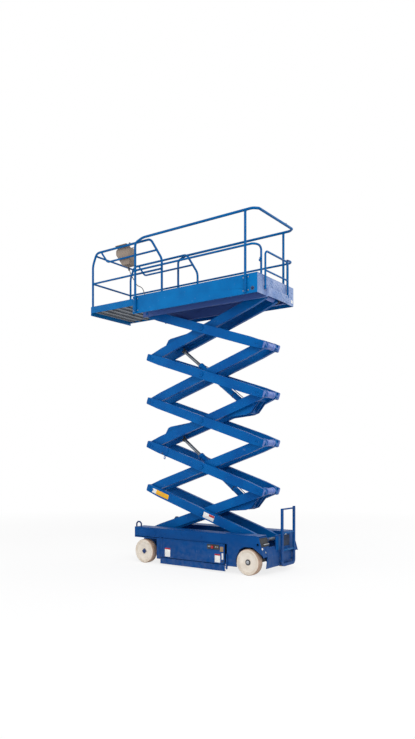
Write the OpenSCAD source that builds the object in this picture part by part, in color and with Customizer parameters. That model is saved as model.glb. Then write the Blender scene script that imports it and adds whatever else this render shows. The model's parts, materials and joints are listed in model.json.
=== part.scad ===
// Self-propelled scissor lift: five scissor stages between a low wheeled base
// and a railed platform with a roll-out deck. Millimetres, +X forward, +Z up.

/* [Base] */
// Centre distance of the front and rear axles
wheelbase = 2095; // [1900:5:2300]
// Tyre outside diameter
wheel_d = 406; // [380:2:420]
// Tyre width
tyre_w = 125; // [100:5:140]
// Width over the tyres
over_tyres = 1170; // [1150:5:1200]
// Base top behind the rear axle
rear_overhang = 173.5; // [150:0.5:200]
// Base ahead of the front axle
front_overhang = 235.5; // [200:0.5:260]
// Half width of the base shell
base_half = 557; // [550:1:565]
// Top of the base shell
base_top = 609; // [600:1:620]
// Sheet thickness of the base walls
base_wall = 14; // [10:1:16]

/* [Scissor] */
// Arm length between end pins
arm_len = 2425; // [2400:1:2450]
// Arm angle as built, degrees above level
arm_angle = 18.58; // [16:0.01:20]
// Arm depth
arm_deep = 150; // [130:1:155]
// Arm width
arm_wide = 58; // [50:1:60]
// Wall of the arm tube
arm_wall = 6; // [4:1:8]
// Front pin, forward of mid wheelbase
front_pin_x = 1209; // [1190:1:1220]
// Height of the lowest pins
pin_z = 499; // [480:1:520]
// Pin radius
pin_r = 25; // [20:1:28]
// Outer arm pair, centre from the middle plane
outer_y = 236; // [230:1:245]
// Inner arm pair, centre from the middle plane
inner_y = 168; // [160:1:170]

/* [Cylinders] */
// Base eye ahead of the inner arm's rear pin
eye_base_back = 375; // [340:5:440]
// Base eye below the inner arm centre line
eye_base_n = 136; // [120:1:150]
// Rod eye along the inner arm two stages up
eye_rod_s = 560; // [500:5:620]
// Rod eye below that arm's centre line
eye_rod_n = 60; // [50:1:70]
// Barrel radius
barrel_r = 48; // [40:1:50]
// Rod radius
rod_r = 28; // [22:1:30]

/* [Platform] */
// Rear edge of the platform
plat_rear = -1221; // [-1240:1:-1200]
// Front edge of the platform
plat_front = 1309; // [1290:1:1320]
// Half width over the side plates
plat_half = 582; // [575:1:590]
// Height of the side plates
plate_tall = 302; // [280:1:320]
// Deck surface above the platform pins
deck_rise = 117; // [110:1:125]
// Rail tube radius
rail_r = 21; // [17:1:24]
// Top rail above the platform pins
top_rail = 1237; // [1200:1:1260]
// Mid rail above the platform pins
mid_rail = 697; // [660:1:720]

/* [Roll-out deck] */
// Front face of the roll-out deck
ext_front = 2387; // [2360:1:2400]
// Roll-out deck inside the side plates, each side
ext_clear = 44; // [40:1:60]
// Rear end of the roll-out deck
ext_rear = 640; // [600:1:680]

/* [Hidden] */
$fn = 24;
shift = 513;
stage_h = arm_len * sin(arm_angle);
span = arm_len * cos(arm_angle);
rear_pin_x = front_pin_x - span;
function pz(k) = pin_z + k * stage_h;
top_z = pz(5);
plate_bot = top_z - 43;
plate_top = plate_bot + plate_tall;
deck_z = top_z + deck_rise;
eye_base_s = arm_len - eye_base_back;
ext_half = plat_half - ext_clear;
wheel_r = wheel_d / 2;
wheel_y = (over_tyres - tyre_w) / 2;
axle_x = wheelbase / 2;
base_rear = -axle_x - rear_overhang;
base_front = axle_x + front_overhang;
// lowest rear corner, bulkhead ahead of the rear wheel, rear end of the well, rear face of the front housing
rear_low = base_rear - 99;
bulk_x = -axle_x + 383.5;
well_rear = -axle_x + 217.5;
house_x = axle_x - 357.5;
door_out = base_half + 28;
track_len = 826;
function rear_face(z) = z > 284 ? rear_low + (z - 284) * 44 / 141 : rear_low + (284 - z) * 22 / 176;
inwall = 300;
inner_in = inner_y - arm_wide / 2;
inner_out = inner_y + arm_wide / 2;
outer_in = outer_y - arm_wide / 2;
outer_out = outer_y + arm_wide / 2;
king_y = 398;
fit = 0.5;
roller_r = 45;
// square-cut arm ends: length past the pin, half depth, corner cut, length of the taper
end_cut = 46;
end_half = 60;
end_trim = 12;
taper = 240;
end_reach = norm([end_cut - end_trim, end_half]);
blue = "#1d4a85";
sky = "#1560a0";
dark = "#25282c";
steel = "#9aa0a6";
cream = "#d8d2c0";
grey = "#6d7075";
tan = "#8a7c6a";
red = "#b3242a";

module place() translate([-shift, 0, 0]) children();
module rod(a, b, r, n = 16) {
  v = b - a;
  h = norm(v);
  translate(a) rotate([0, acos(v[2] / h), atan2(v[1], v[0])]) cylinder(r = r, h = h, $fn = n);
}
module path(p, r, n = 16) {
  for (i = [0 : len(p) - 2]) rod(p[i], p[i + 1], r, n);
  for (i = [1 : len(p) - 2]) translate(p[i]) sphere(r = r + 0.6, $fn = n);
}
module ycyl(x, z, y0, y1, r, n = 24) translate([x, y0, z]) rotate([-90, 0, 0]) cylinder(r = r, h = y1 - y0, $fn = n);
module box(a, b) translate(a) cube(b - a);
module slab(pts, y0, y1) translate([0, y1, 0]) rotate([90, 0, 0]) linear_extrude(height = y1 - y0) polygon(pts);
module both() { children(); mirror([0, 1, 0]) children(); }

// Base
module chassis_frame() color(blue) place() {
  both() {
    // inner wall beside the scissor well
    slab([[base_rear + 25, 245], [well_rear, 245], [well_rear, 135], [house_x + 55, 135], [house_x + 55, 245], [base_front, 245],
      [base_front, base_top], [base_rear + 2, base_top], [base_rear - 32, pin_z + 1], [base_rear - 17, 420], [base_rear + 25, 420]], inwall, inwall + base_wall);
    // top skin and upper side band
    box([base_rear + 2, inwall, base_top - base_wall], [base_front, base_half, base_top]);
    box([well_rear, base_half - base_wall, 455], [base_front, base_half, base_top]);
    box([house_x - 30, base_half - 2, 455], [house_x, door_out, 470]);
    // floor of the side bay
    box([bulk_x + 14, inwall, 135], [house_x + 55, base_half - base_wall, 149]);
    // front housing over the steered wheel
    box([house_x, inwall, 430], [base_front, base_half, 444]);
    box([base_front - base_wall, inwall, 430], [base_front, base_half, base_top]);
    box([house_x, inwall, 135], [house_x + 14, base_half, base_top - 2]);
    box([house_x, base_half - base_wall, 100], [house_x + 70, door_out, 452]);
    box([house_x + 56, inwall, 135], [house_x + 70, base_half, 444]);
    // bulkhead ahead of the rear wheel
    box([bulk_x, inwall, 110], [bulk_x + 14, base_half, base_top - 2]);
    box([bulk_x, base_half - base_wall, 100], [bulk_x + 14, base_half + 25, 300]);
    // roller track
    box([base_rear - 31, 270, pin_z - roller_r - 12], [base_rear + track_len, inwall + 2, pin_z - roller_r - fit]);
    box([base_rear - 31, 270, pin_z + roller_r + fit], [base_rear + track_len, inwall + 2, pin_z + roller_r + 12]);
    // lug bosses of the fixed front pin
    ycyl(front_pin_x, pin_z, inner_out + 6, inwall + 2, 55, 32);
  }
  // well floor, front and rear cross members
  box([well_rear, -inwall - 2, 135], [house_x + 55, inwall + 2, 149]);
  box([base_front - 60, -inwall - 2, 245], [base_front, inwall + 2, 400]);
  box([well_rear - 14, -inwall - 2, 135], [well_rear, inwall + 2, 420]);
  box([house_x + 55, -inwall - 2, 135], [house_x + 69, inwall + 2, 400]);
  ycyl(front_pin_x, pin_z, -inwall - 6, inwall + 6, pin_r, 32);
}
module rear_shell() color(blue) place() {
  both() {
    // sloped side with the wheel arch and the lashing hole
    difference() {
      slab([[base_rear, base_top], [rear_low, 284], [rear_low + 20, 319], [-axle_x - 78.5, 432], [-axle_x + 72.5, 432], [-axle_x + 162.5, 385], [-axle_x + 229.5, 238],
        [-axle_x + 214.5, 110], [bulk_x, 110], [bulk_x, 455], [well_rear, 455], [well_rear, base_top - base_wall], [base_rear + 2, base_top - base_wall], [base_rear + 2, base_top]], base_half - base_wall, base_half);
      ycyl(base_rear + 6, 480, base_half - 40, base_half + 20, 20, 32);
    }
    // arch lining
    slab([[rear_low + 30, 332], [-axle_x - 78.5, 438], [-axle_x + 74.5, 438], [-axle_x + 167.5, 390], [-axle_x + 234.5, 240],
      [-axle_x + 242.5, 244], [-axle_x + 175.5, 398], [-axle_x + 77.5, 450], [-axle_x - 82.5, 450], [rear_low + 35, 350]], inwall + base_wall, base_half - 6);
    // sloped rear face beside the well
    slab([[base_rear - 2, base_top - 20], [rear_low + 8, 292], [rear_low + 22, 330], [base_rear + 12, base_top - 20]], inwall + base_wall, base_half - 8);
  }
  // upright cover behind the sliding arm ends, with a turned-in edge each side
  box([base_rear - 76, -inwall - 6, 345], [base_rear - 67, 144, 588]);
  box([base_rear - 76, -inwall - 6, 345], [base_rear - 50, -inwall + 2, 588]);
  box([base_rear - 76, 136, 360], [base_rear - 60, 144, 588]);
  box([base_rear - 76, -inwall - 6, 580], [base_rear - 50, 144, 588]);
  // lower rear wall between the wheels
  slab([[rear_low + 44, 425], [rear_low, 284], [rear_low + 22, 108], [rear_low + 36, 108], [rear_low + 14, 284], [rear_low + 58, 425]], -430, 430);
  both() slab([[rear_low + 52, 418], [rear_low + 8, 284], [rear_low + 30, 125], [base_rear + 25, 247], [base_rear + 25, 418]], inwall + base_wall, inwall + 28);
}
module battery_blocks() color(grey) place() both() box([bulk_x + 144, 330, 149], [house_x - 130, 525, 420]);
ladder_y = [-365, 30];
ladder_w = 44;
module round_foot(y0, y1, z0, z1, r) {
  translate([y0, z0 + r]) square([y1 - y0, z1 - z0 - r]);
  translate([y0 + r, z0]) square([y1 - y0 - 2 * r, r + 1]);
  for (y = [y0 + r, y1 - r]) translate([y, z0 + r]) circle(r = r, $fn = 40);
}
module ladder() color(blue) place() {
  lx = rear_low - 25;
  // flat-bar loop with round lower corners, one upright rounded over at the top
  translate([lx - 15, 0, 0]) rotate([90, 0, 90]) linear_extrude(height = 30) {
    difference() {
      round_foot(ladder_y[0] - ladder_w / 2, ladder_y[1] + ladder_w / 2, 93, 1005, 75);
      round_foot(ladder_y[0] + ladder_w / 2, ladder_y[1] - ladder_w / 2, 93 + ladder_w, 1010, 75 - ladder_w);
    }
    translate([ladder_y[0], 1005]) circle(r = ladder_w / 2, $fn = 28);
  }
  for (z = [345, 616, 994]) rod([lx, ladder_y[0], z], [lx, ladder_y[1], z], 13, 14);
  // stand-off brackets on the rear wall
  for (y = ladder_y, z = [180, 310]) slab([[lx, z - 15], [rear_face(z - 15) - 0.2, z - 15], [rear_face(z + 15) - 0.2, z + 15], [lx, z + 15]], y - 12, y + 12);
}
module tie_down_loops() color(blue) place() both() {
  y = base_half - 24;
  x0 = base_front - 131;
  x1 = base_front - 26;
  path([[x0, y, base_top], [x0, y, base_top + 58], [x0 + 30, y, base_top + 88], [x1 - 30, y, base_top + 88], [x1, y, base_top + 58], [x1, y, base_top]], 13);
}
module front_axle() color(dark) place() {
  box([axle_x - 45, -340, 163], [axle_x + 45, 340, 245]);
  both() {
    for (z = [118, 250]) {
      box([axle_x - 40, 330, z], [axle_x + 40, king_y, z + 34]);
      translate([axle_x, king_y, z]) cylinder(r = 40, h = 34, $fn = 32);
    }
    box([axle_x - 40, 325, 118], [axle_x + 40, 345, 284]);
    translate([axle_x, king_y, 116]) cylinder(r = 20, h = 170, $fn = 32);
  }
}
module rear_axle() color(dark) place() {
  box([-axle_x - 45, -390, 163], [-axle_x + 45, 390, 245]);
  both() {
    ycyl(-axle_x, wheel_r, 385, 452, 78, 36);
    ycyl(-axle_x, wheel_r, 450, 566, pin_r, 32);
  }
}
module door(s) {
  mirror([0, s < 0 ? 1 : 0, 0]) {
    difference() {
      box([bulk_x + 42, base_half + 8, 138], [house_x - 6, door_out, 450]);
      box([bulk_x + 58, base_half, 154], [house_x - 30, door_out - base_wall, 434]);
    }
    translate([house_x - 14, base_half + 18, 136]) cylinder(r = 7, h = 318.5, $fn = 20);
  }
}
module door_left() color(blue) place() door(1);
module door_right() color(blue) place() door(-1);
module ground_panel() color(dark) place() {
  box([bulk_x + 144, door_out, 370], [bulk_x + 334, door_out + 12, 440]);
  ycyl(bulk_x + 294, 405, door_out + 12, door_out + 27, 16, 24);
  for (x = [174, 214, 249]) ycyl(bulk_x + x, 405, door_out + 12, door_out + 20, 9, 18);
}
module guard(s) {
  mirror([0, s < 0 ? 1 : 0, 0]) {
    box([bulk_x + 42, base_half + 9, 25], [house_x - 4, base_half + 21, 112]);
    box([bulk_x + 42, base_half - 12, 25], [house_x - 4, base_half + 13, 33]);
    rod([bulk_x + 14.5, base_half + 11, 116], [house_x - 0.5, base_half + 11, 116], 9, 20);
  }
}
module guard_left() color(blue) place() guard(1);
module guard_right() color(blue) place() guard(-1);
steer_arm = 150;
module knuckle(s) {
  mirror([0, s < 0 ? 1 : 0, 0]) {
    difference() {
      union() {
        translate([axle_x, king_y, 157]) cylinder(r = 38, h = 88, $fn = 32);
        box([axle_x - steer_arm, king_y - 14, 165], [axle_x, king_y + 14, 185]);
        translate([axle_x - steer_arm, king_y, 165]) cylinder(r = 26, h = 20, $fn = 28);
        ycyl(axle_x, wheel_r, king_y + 10, 566, pin_r, 32);
        ycyl(axle_x, wheel_r, king_y + 10, 448, 36, 32);
      }
      translate([axle_x, king_y, 100]) cylinder(r = 20 + fit, h = 200, $fn = 32);
      translate([axle_x - steer_arm, king_y, 100]) cylinder(r = 12 + fit, h = 200, $fn = 24);
    }
  }
}
module knuckle_left() color(dark) place() knuckle(1);
module knuckle_right() color(dark) place() knuckle(-1);
module tie_rod() color(steel) place() {
  for (y = [-king_y, king_y]) {
    translate([axle_x - steer_arm, y, 143]) cylinder(r = 20, h = 20, $fn = 24);
    translate([axle_x - steer_arm, y, 143]) cylinder(r = 12, h = 48, $fn = 24);
  }
  rod([axle_x - steer_arm, -king_y, 153], [axle_x - steer_arm, king_y, 153], 9, 16);
}

// Wheels
module tyre(x, s) translate([x, s * wheel_y, wheel_r]) rotate([-90, 0, 0]) rotate_extrude($fn = 72)
  polygon([[150, -tyre_w / 2], [wheel_r - 14, -tyre_w / 2], [wheel_r - 4, -tyre_w / 2 + 5], [wheel_r, -tyre_w / 2 + 16],
    [wheel_r, tyre_w / 2 - 16], [wheel_r - 4, tyre_w / 2 - 5], [wheel_r - 14, tyre_w / 2], [150, tyre_w / 2]]);
module hub(x, s, rear) translate([x, s * wheel_y, wheel_r]) rotate([s > 0 ? -90 : 90, 0, 0]) {
  // smooth dished disc, open behind, with a square cap in front and a ringed nut at the rear
  rotate_extrude($fn = 60) polygon([[pin_r + fit, -54], [60, -54], [70, -30], [120, -24], [136, -58], [150, -58], [150, 57], [142, 57], [128, 50], [70, 46], [pin_r + fit, 46]]);
  if (!rear) rotate([0, 0, 45]) translate([-34, -34, 45]) cube([68, 68, 15]);
  if (rear) {
    translate([0, 0, 45]) cylinder(r = 46, h = 6, $fn = 36);
    translate([0, 0, 50]) cylinder(r = 30, h = 9, $fn = 6);
  }
}
module tyre_front_left() color(cream) place() tyre(axle_x, 1);
module tyre_front_right() color(cream) place() tyre(axle_x, -1);
module tyre_rear_left() color(cream) place() tyre(-axle_x, 1);
module tyre_rear_right() color(cream) place() tyre(-axle_x, -1);
module hub_front_left() color(steel) place() hub(axle_x, 1, false);
module hub_front_right() color(steel) place() hub(axle_x, -1, false);
module hub_rear_left() color(steel) place() hub(-axle_x, 1, true);
module hub_rear_right() color(steel) place() hub(-axle_x, -1, true);

// Scissor
module bar(y0, y1) {
  // rectangular tube from end pin to end pin, tapered to square-cut ends
  half = [[-end_cut, end_half - end_trim], [-end_cut + end_trim, end_half], [taper, arm_deep / 2]];
  top = concat(half, [for (i = [2 : -1 : 0]) [arm_len - half[i][0], half[i][1]]]);
  difference() {
    slab(concat(top, [for (i = [5 : -1 : 0]) [top[i][0], -top[i][1]]]), y0, y1);
    for (x = [taper, arm_len / 2 + 60])
      box([x, y0 + arm_wall, -arm_deep / 2 + arm_wall], [x + arm_len / 2 - 60 - taper, y1 - arm_wall, arm_deep / 2 - arm_wall]);
  }
}
gusset_out = inner_in - 5;
module gusset(pts) both() {
  // cheek plate welded to the inside of each inner arm, clear of the stages beside it
  slab(pts, gusset_out - 10, gusset_out);
  slab([pts[5], [pts[5][0], 40 * sign(pts[0][1])], [pts[4][0], 40 * sign(pts[0][1])], pts[4]], gusset_out - 2, inner_in + 2);
}
module inner(k) {
  // lower end at the front pin, rising to the rear
  translate([front_pin_x, 0, pz(k - 1)]) rotate([0, arm_angle, 0]) mirror([1, 0, 0]) difference() {
    union() {
      both() {
        bar(inner_in, inner_out);
        ycyl(arm_len / 2, 0, inner_out - 2, outer_out + 3, pin_r, 32);
        ycyl(arm_len / 2, 0, outer_out + 1, outer_out + 7, 38, 28);
      }
      for (x = [0, arm_len]) ycyl(x, 0, -inner_in - 2, inner_in + 2, 42, 36);
      if (k == 1 || k == 3) {
        ycyl(eye_base_s + 215, -20, -inner_in - 2, inner_in + 2, 30, 28);
        both() slab([[eye_base_s - 30, -eye_base_n - 48], [eye_base_s + 40, -eye_base_n - 42], [eye_base_s + 235, -40], [eye_base_s + 215, 6],
          [eye_base_s + 190, 0], [eye_base_s + 20, -eye_base_n + 46], [eye_base_s - 34, -eye_base_n + 44]], 56, 74);
        ycyl(eye_base_s, -eye_base_n, -gusset_out, gusset_out, 22, 28);
        gusset([[eye_base_s - 540, 6 - arm_deep / 2], [eye_base_s - 60, -eye_base_n - 46], [eye_base_s + 40, -eye_base_n - 46],
          [eye_base_s + 250, -52], [eye_base_s + 250, 0], [eye_base_s - 540, 0]]);
      }
      if (k == 3 || k == 5) {
        ycyl(eye_rod_s - 140, 14, -inner_in - 2, inner_in + 2, 30, 28);
        both() slab([[eye_rod_s - 165, -2], [eye_rod_s - 30, -eye_rod_n - 40], [eye_rod_s + 40, -eye_rod_n - 40], [eye_rod_s + 40, -eye_rod_n + 40],
          [eye_rod_s - 40, 96], [eye_rod_s - 130, 96], [eye_rod_s - 165, 40]], 39, 55);
        gusset([[eye_rod_s - 270, arm_deep / 2 - 6], [eye_rod_s - 150, 168], [eye_rod_s - 90, 172], [eye_rod_s + 440, arm_deep / 2 - 6],
          [eye_rod_s + 440, 0], [eye_rod_s - 270, 0]]);
      }
    }
    ycyl(0, 0, -400, 400, pin_r + fit, 32);
    if (k < 5) ycyl(arm_len, 0, -400, 400, pin_r + fit, 32);
    if (k == 5) ycyl(arm_len, 0, -400, 400, pin_r + 0.2, 32);
  }
}
module outer(k) {
  // lower end at the rear pin, rising to the front
  translate([rear_pin_x, 0, pz(k - 1)]) rotate([0, -arm_angle, 0]) difference() {
    union() {
      both() bar(outer_in, outer_out);
      for (x = [0, arm_len]) {
        w = k == 5 && x > 0 ? 320 : outer_out + 4;
        if (!(k == 1 && x == 0)) ycyl(x, 0, -w, w, pin_r, 32);
      }
    }
    ycyl(arm_len / 2, 0, -400, 400, pin_r + fit, 32);
    if (k == 1) ycyl(0, 0, -400, 400, pin_r + 0.2, 32);
  }
}
module inner_arm_1() color(sky) place() inner(1);
module inner_arm_2() color(sky) place() inner(2);
module inner_arm_3() color(sky) place() inner(3);
module inner_arm_4() color(sky) place() inner(4);
module inner_arm_5() color(sky) place() inner(5);
module outer_arm_1() color(sky) place() outer(1);
module outer_arm_2() color(sky) place() outer(2);
module outer_arm_3() color(sky) place() outer(3);
module outer_arm_4() color(sky) place() outer(4);
module outer_arm_5() color(sky) place() outer(5);
module base_rollers() color(cream) place() {
  ycyl(rear_pin_x, pin_z, -296, 296, pin_r, 32);
  both() ycyl(rear_pin_x, pin_z, 270, 294, roller_r, 40);
}
module top_rollers() color(cream) place() {
  ycyl(rear_pin_x, top_z, -296, 296, pin_r, 32);
  both() ycyl(rear_pin_x, top_z, 270, 294, roller_r, 40);
}

// Lift cylinders
function on_inner(k, s, n) = [front_pin_x - s * cos(arm_angle) + n * sin(arm_angle), 0, pz(k - 1) + s * sin(arm_angle) + n * cos(arm_angle)];
function cyl_a(k) = on_inner(k, eye_base_s, -eye_base_n);
function cyl_b(k) = on_inner(k + 2, eye_rod_s, -eye_rod_n);
cyl_len = norm(cyl_b(1) - cyl_a(1));
cyl_tilt = atan2((cyl_b(1) - cyl_a(1))[2], (cyl_b(1) - cyl_a(1))[0]);
barrel_len = 1330;
module on_cyl(k) translate(cyl_a(k)) rotate([0, -cyl_tilt, 0]) children();
module barrel(k) on_cyl(k) difference() {
  union() {
    rotate([0, 90, 0]) cylinder(r = barrel_r, h = barrel_len, $fn = 36);
    rotate([0, 90, 0]) translate([0, 0, barrel_len - 60]) cylinder(r = barrel_r + 6, h = 60, $fn = 36);
    ycyl(0, 0, -50, 50, 46, 32);
  }
  ycyl(0, 0, -80, 80, 22 + fit, 28);
  rotate([0, 90, 0]) translate([0, 0, 52]) cylinder(r = rod_r + fit, h = barrel_len, $fn = 32);
}
module piston(k) on_cyl(k) {
  rotate([0, 90, 0]) translate([0, 0, cyl_len - 1362]) cylinder(r = rod_r, h = 1362 - 30, $fn = 32);
  ycyl(cyl_len, 0, -32, 32, 42, 32);
}
module lower_barrel() color(sky) place() barrel(1);
module lower_rod() color(steel) place() piston(1);
module upper_barrel() color(sky) place() barrel(3);
module upper_rod() color(steel) place() piston(3);

// Platform
module deck_frame() color(grey) place() {
  box([plat_rear + 8, -plat_half + 6, deck_z - 14], [plat_front, plat_half - 6, deck_z]);
  both() {
    for (i = [0 : 6]) let (x = plat_rear + 41 + i * (plat_front - plat_rear - 80) / 6) box([x - 15, 312, deck_z - 64], [x + 15, plat_half - 6, deck_z - 12]);
    // channel for the top rollers and the fixed front pin
    difference() {
      box([plat_rear + 8, 300, top_z - 58], [plat_front - 4, 314, deck_z - 12]);
      ycyl(front_pin_x, top_z, 290, 330, pin_r + fit, 32);
    }
    box([plat_rear + 8, 270, top_z - roller_r - 12], [plat_rear + track_len, 302, top_z - roller_r - fit]);
    box([plat_rear + 8, 270, top_z + roller_r + fit], [plat_rear + track_len, 302, top_z + roller_r + 12]);
  }
}
module side_plate(s) {
  mirror([0, s < 0 ? 1 : 0, 0]) difference() {
    box([plat_rear, plat_half - 6, plate_bot], [plat_front, plat_half, plate_top]);
    ycyl(plat_rear + 84, top_z + 27, plat_half - 20, plat_half + 20, 22, 24);
  }
}
module side_plate_left() color(blue) place() side_plate(1);
module side_plate_right() color(blue) place() side_plate(-1);
module end_plate() color("#5d6fb0") place() {
  difference() {
    box([plat_rear, -plat_half + 6, plate_bot], [plat_rear + 8, plat_half - 6, plate_top]);
    // notch that the sliding arm ends pass through when lowered
    box([plat_rear - 5, -302, plate_bot - 5], [plat_rear + 15, 302, top_z + end_reach + 6]);
  }
  box([plat_rear - 42, -364, top_z + 8], [plat_rear, -316, top_z + 39.5]);
}
ry = plat_half + rail_r + 0.2;
module rail_side(s) {
  z0 = plate_bot + 16;
  zt = top_z + top_rail;
  zm = top_z + mid_rail;
  xf = plat_front - 77;
  xr = plat_rear + 71;
  xp = plat_rear + 27;
  mirror([0, s < 0 ? 1 : 0, 0]) {
    path([[xf, ry, z0], [xf, ry, zt - 62], [xf - 170, ry, zt], [xr, ry, zt], [plat_rear - 1, ry - 72, zt], [plat_rear - 1, ry - 120, zt]], rail_r);
    rod([plat_rear + 201, ry, z0], [plat_rear + 201, ry, zt], rail_r - 1);
    path([[xf, ry, zm], [xr, ry, zm], [xp, ry - 60, zm], [xp, 460, zm], [xp, 420, zm - 40], [xp, 420, deck_z]], 17);
  }
}
module rail_left() color(sky) place() rail_side(1);
module rail_right() color(sky) place() rail_side(-1);
module rail_rear() color(sky) place() rod([plat_rear - 1, -ry + 120, top_z + top_rail], [plat_rear - 1, ry - 120, top_z + top_rail], rail_r);
module gate() color(sky) place() {
  gx = plat_rear - 24;
  path([[gx, 380, top_z + 40], [gx, 380, top_z + 590], [gx, 340, top_z + 630], [gx, -300, top_z + 630], [gx, -340, top_z + 590], [gx, -340, top_z + 40]], 16);
  rod([gx, 380, top_z + 330], [gx, -340, top_z + 330], 14);
}

// Roll-out deck
module ext_deck() color(grey) place() {
  ez = deck_z + 8;
  box([ext_rear, -ext_half + 4, ez + 26], [ext_front - 4, ext_half - 4, ez + 36]);
  both() box([ext_rear, ext_half - 6, deck_z + 0.4], [ext_front, ext_half, ez + 110]);
  box([ext_front - 6, -ext_half, ez - 50], [ext_front, ext_half, ez + 110]);
  for (i = [0 : 9]) let (x = ext_rear + 20 + i * (ext_front - ext_rear - 127) / 9) box([x - 12, -ext_half + 4, ez], [x + 12, ext_half - 4, ez + 28]);
}
ey = ext_half - rail_r - 5.2;
hoop_x = ext_front - rail_r - 5.2;
ext_top = top_z + top_rail - 21;
ext_up = ext_top - 214;
ext_mid = top_z + mid_rail - 32;
module ext_side(s) {
  z0 = deck_z + 44;
  xf = hoop_x;
  xr = ext_rear + 68;
  mirror([0, s < 0 ? 1 : 0, 0]) {
    path([[xf, ey, z0], [xf, ey, ext_up], [xf - 100, ey, ext_top], [xr + 250, ey, ext_top], [xr, ey, ext_up - 170], [xr, ey, z0]], rail_r - 1);
    path([[xf - 214, ey, ext_top], [xf - 372, ey, ext_up], [xr + 118, ey, ext_up]], 17);
    rod([xf, ey, ext_mid], [xr, ey, ext_mid], 17);
  }
}
module ext_rail_left() color(sky) place() ext_side(1);
module ext_rail_right() color(sky) place() ext_side(-1);
module ext_rail_front() color(sky) place() {
  for (p = [[hoop_x, ext_mid], [hoop_x - 76, ext_up + 163]]) rod([p[0], -ey + rail_r - 0.1, p[1]], [p[0], ey - rail_r + 0.1, p[1]], 17);
}
module control_box() color(tan) place() {
  x0 = ext_front - 903;
  x1 = ext_front - 573;
  zb = ext_top - 322;
  // console with a sloped underside towards the front
  slab([[x0, zb], [x1 - 150, zb], [x1, ext_top - 110], [x1, ext_top - 34], [x1 - 20, ext_top - 16], [x0, ext_top - 16]], 300, 478);
  // hook over the top rail
  box([x0 + 20, 440, ext_top - 20], [x1 - 40, 478, ext_top + 30]);
  box([x0 + 20, 440, ext_top + 20.3], [x1 - 40, ey + 30, ext_top + 30]);
}
module control_cord() color(dark) place() {
  path([[1650, 310, top_z + 891.3], [1610, 300, top_z + 770], [1525, 300, top_z + 640], [1456, 300, top_z + 546], [1320, 300, top_z + 450], [1225, 300, deck_z + 47]], 7, 12);
}

chassis_frame();
rear_shell();
battery_blocks();
ladder();
tie_down_loops();
front_axle();
rear_axle();
door_left();
door_right();
ground_panel();
guard_left();
guard_right();
knuckle_left();
knuckle_right();
tie_rod();
tyre_front_left();
hub_front_left();
tyre_front_right();
hub_front_right();
tyre_rear_left();
hub_rear_left();
tyre_rear_right();
hub_rear_right();
inner_arm_1();
inner_arm_2();
inner_arm_3();
inner_arm_4();
inner_arm_5();
outer_arm_1();
outer_arm_2();
outer_arm_3();
outer_arm_4();
outer_arm_5();
base_rollers();
top_rollers();
lower_barrel();
lower_rod();
upper_barrel();
upper_rod();
deck_frame();
side_plate_left();
side_plate_right();
end_plate();
rail_left();
rail_right();
rail_rear();
gate();
ext_deck();
ext_rail_left();
ext_rail_right();
ext_rail_front();
control_box();
control_cord();
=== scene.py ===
"""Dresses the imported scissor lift: finishes, fittings, camera and light, in one frame with the CAD part."""

from __future__ import annotations

import json
import logging
import math
from collections.abc import Iterator
from contextlib import contextmanager
from dataclasses import dataclass
from enum import Enum

import bpy
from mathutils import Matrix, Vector

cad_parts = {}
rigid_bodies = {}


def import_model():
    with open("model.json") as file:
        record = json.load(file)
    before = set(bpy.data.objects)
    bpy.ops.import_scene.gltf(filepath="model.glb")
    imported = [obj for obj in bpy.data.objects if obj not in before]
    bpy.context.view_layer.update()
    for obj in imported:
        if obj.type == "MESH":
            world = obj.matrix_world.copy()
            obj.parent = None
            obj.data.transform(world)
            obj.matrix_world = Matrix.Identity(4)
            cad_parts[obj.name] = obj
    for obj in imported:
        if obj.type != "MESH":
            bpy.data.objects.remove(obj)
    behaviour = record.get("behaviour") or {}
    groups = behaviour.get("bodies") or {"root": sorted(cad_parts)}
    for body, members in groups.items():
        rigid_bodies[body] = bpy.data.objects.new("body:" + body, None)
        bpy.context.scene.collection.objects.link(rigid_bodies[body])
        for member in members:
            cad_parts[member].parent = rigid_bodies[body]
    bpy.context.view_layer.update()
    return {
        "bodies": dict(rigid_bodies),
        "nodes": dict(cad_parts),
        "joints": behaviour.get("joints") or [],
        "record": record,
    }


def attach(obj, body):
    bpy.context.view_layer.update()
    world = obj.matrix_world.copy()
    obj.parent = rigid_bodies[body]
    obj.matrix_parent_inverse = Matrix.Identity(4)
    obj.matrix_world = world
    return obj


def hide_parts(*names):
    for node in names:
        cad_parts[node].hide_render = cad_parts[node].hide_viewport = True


LOG = logging.getLogger("scissor_lift")
Point = tuple[float, float, float]
# mid wheelbase lies this far behind the part's origin
SHIFT = 0.513
# arm length between end pins, and slope at rest
ARM, ANGLE = 2.425, math.radians(18.58)
LEVELS = 5
# lowest front pin, rise of one stage, and the line of rear pins
FRONT_X, PIN_Z = 1.209, 0.499
STAGE = ARM * math.sin(ANGLE)
REAR_X = FRONT_X - ARM * math.cos(ANGLE)
# highest pins and the deck above them
TOP_Z = PIN_Z + LEVELS * STAGE
DECK_Z = TOP_Z + 0.117
# outer face of the outer arms, inner face of the inner arms
OUTER_OUT, INNER_IN = 0.265, 0.139
SIDES = (("left", 1), ("right", -1))
# edges sharper than these are rounded on nodes, or kept crisp when smoothing
EDGE_ANGLE, SMOOTH_ANGLE = math.radians(40), math.radians(38)
ARM_EDGE = 0.006
# points closer than this are merged, on turned pieces and on nodes
MERGE, NODE_MERGE = 0.00005, 0.0001
# an edge or a bend takes no more than this share of a side
CUT_SHARE = 0.45
# straight pieces in a bend
BEND_STEPS = 6
FLOOR_DUST = "#a39b8c"


def at(x: float, y: float, z: float) -> Vector:
    """Point given forward of mid wheelbase, moved into the part's frame."""
    return Vector((x - SHIFT, y, z))


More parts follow.
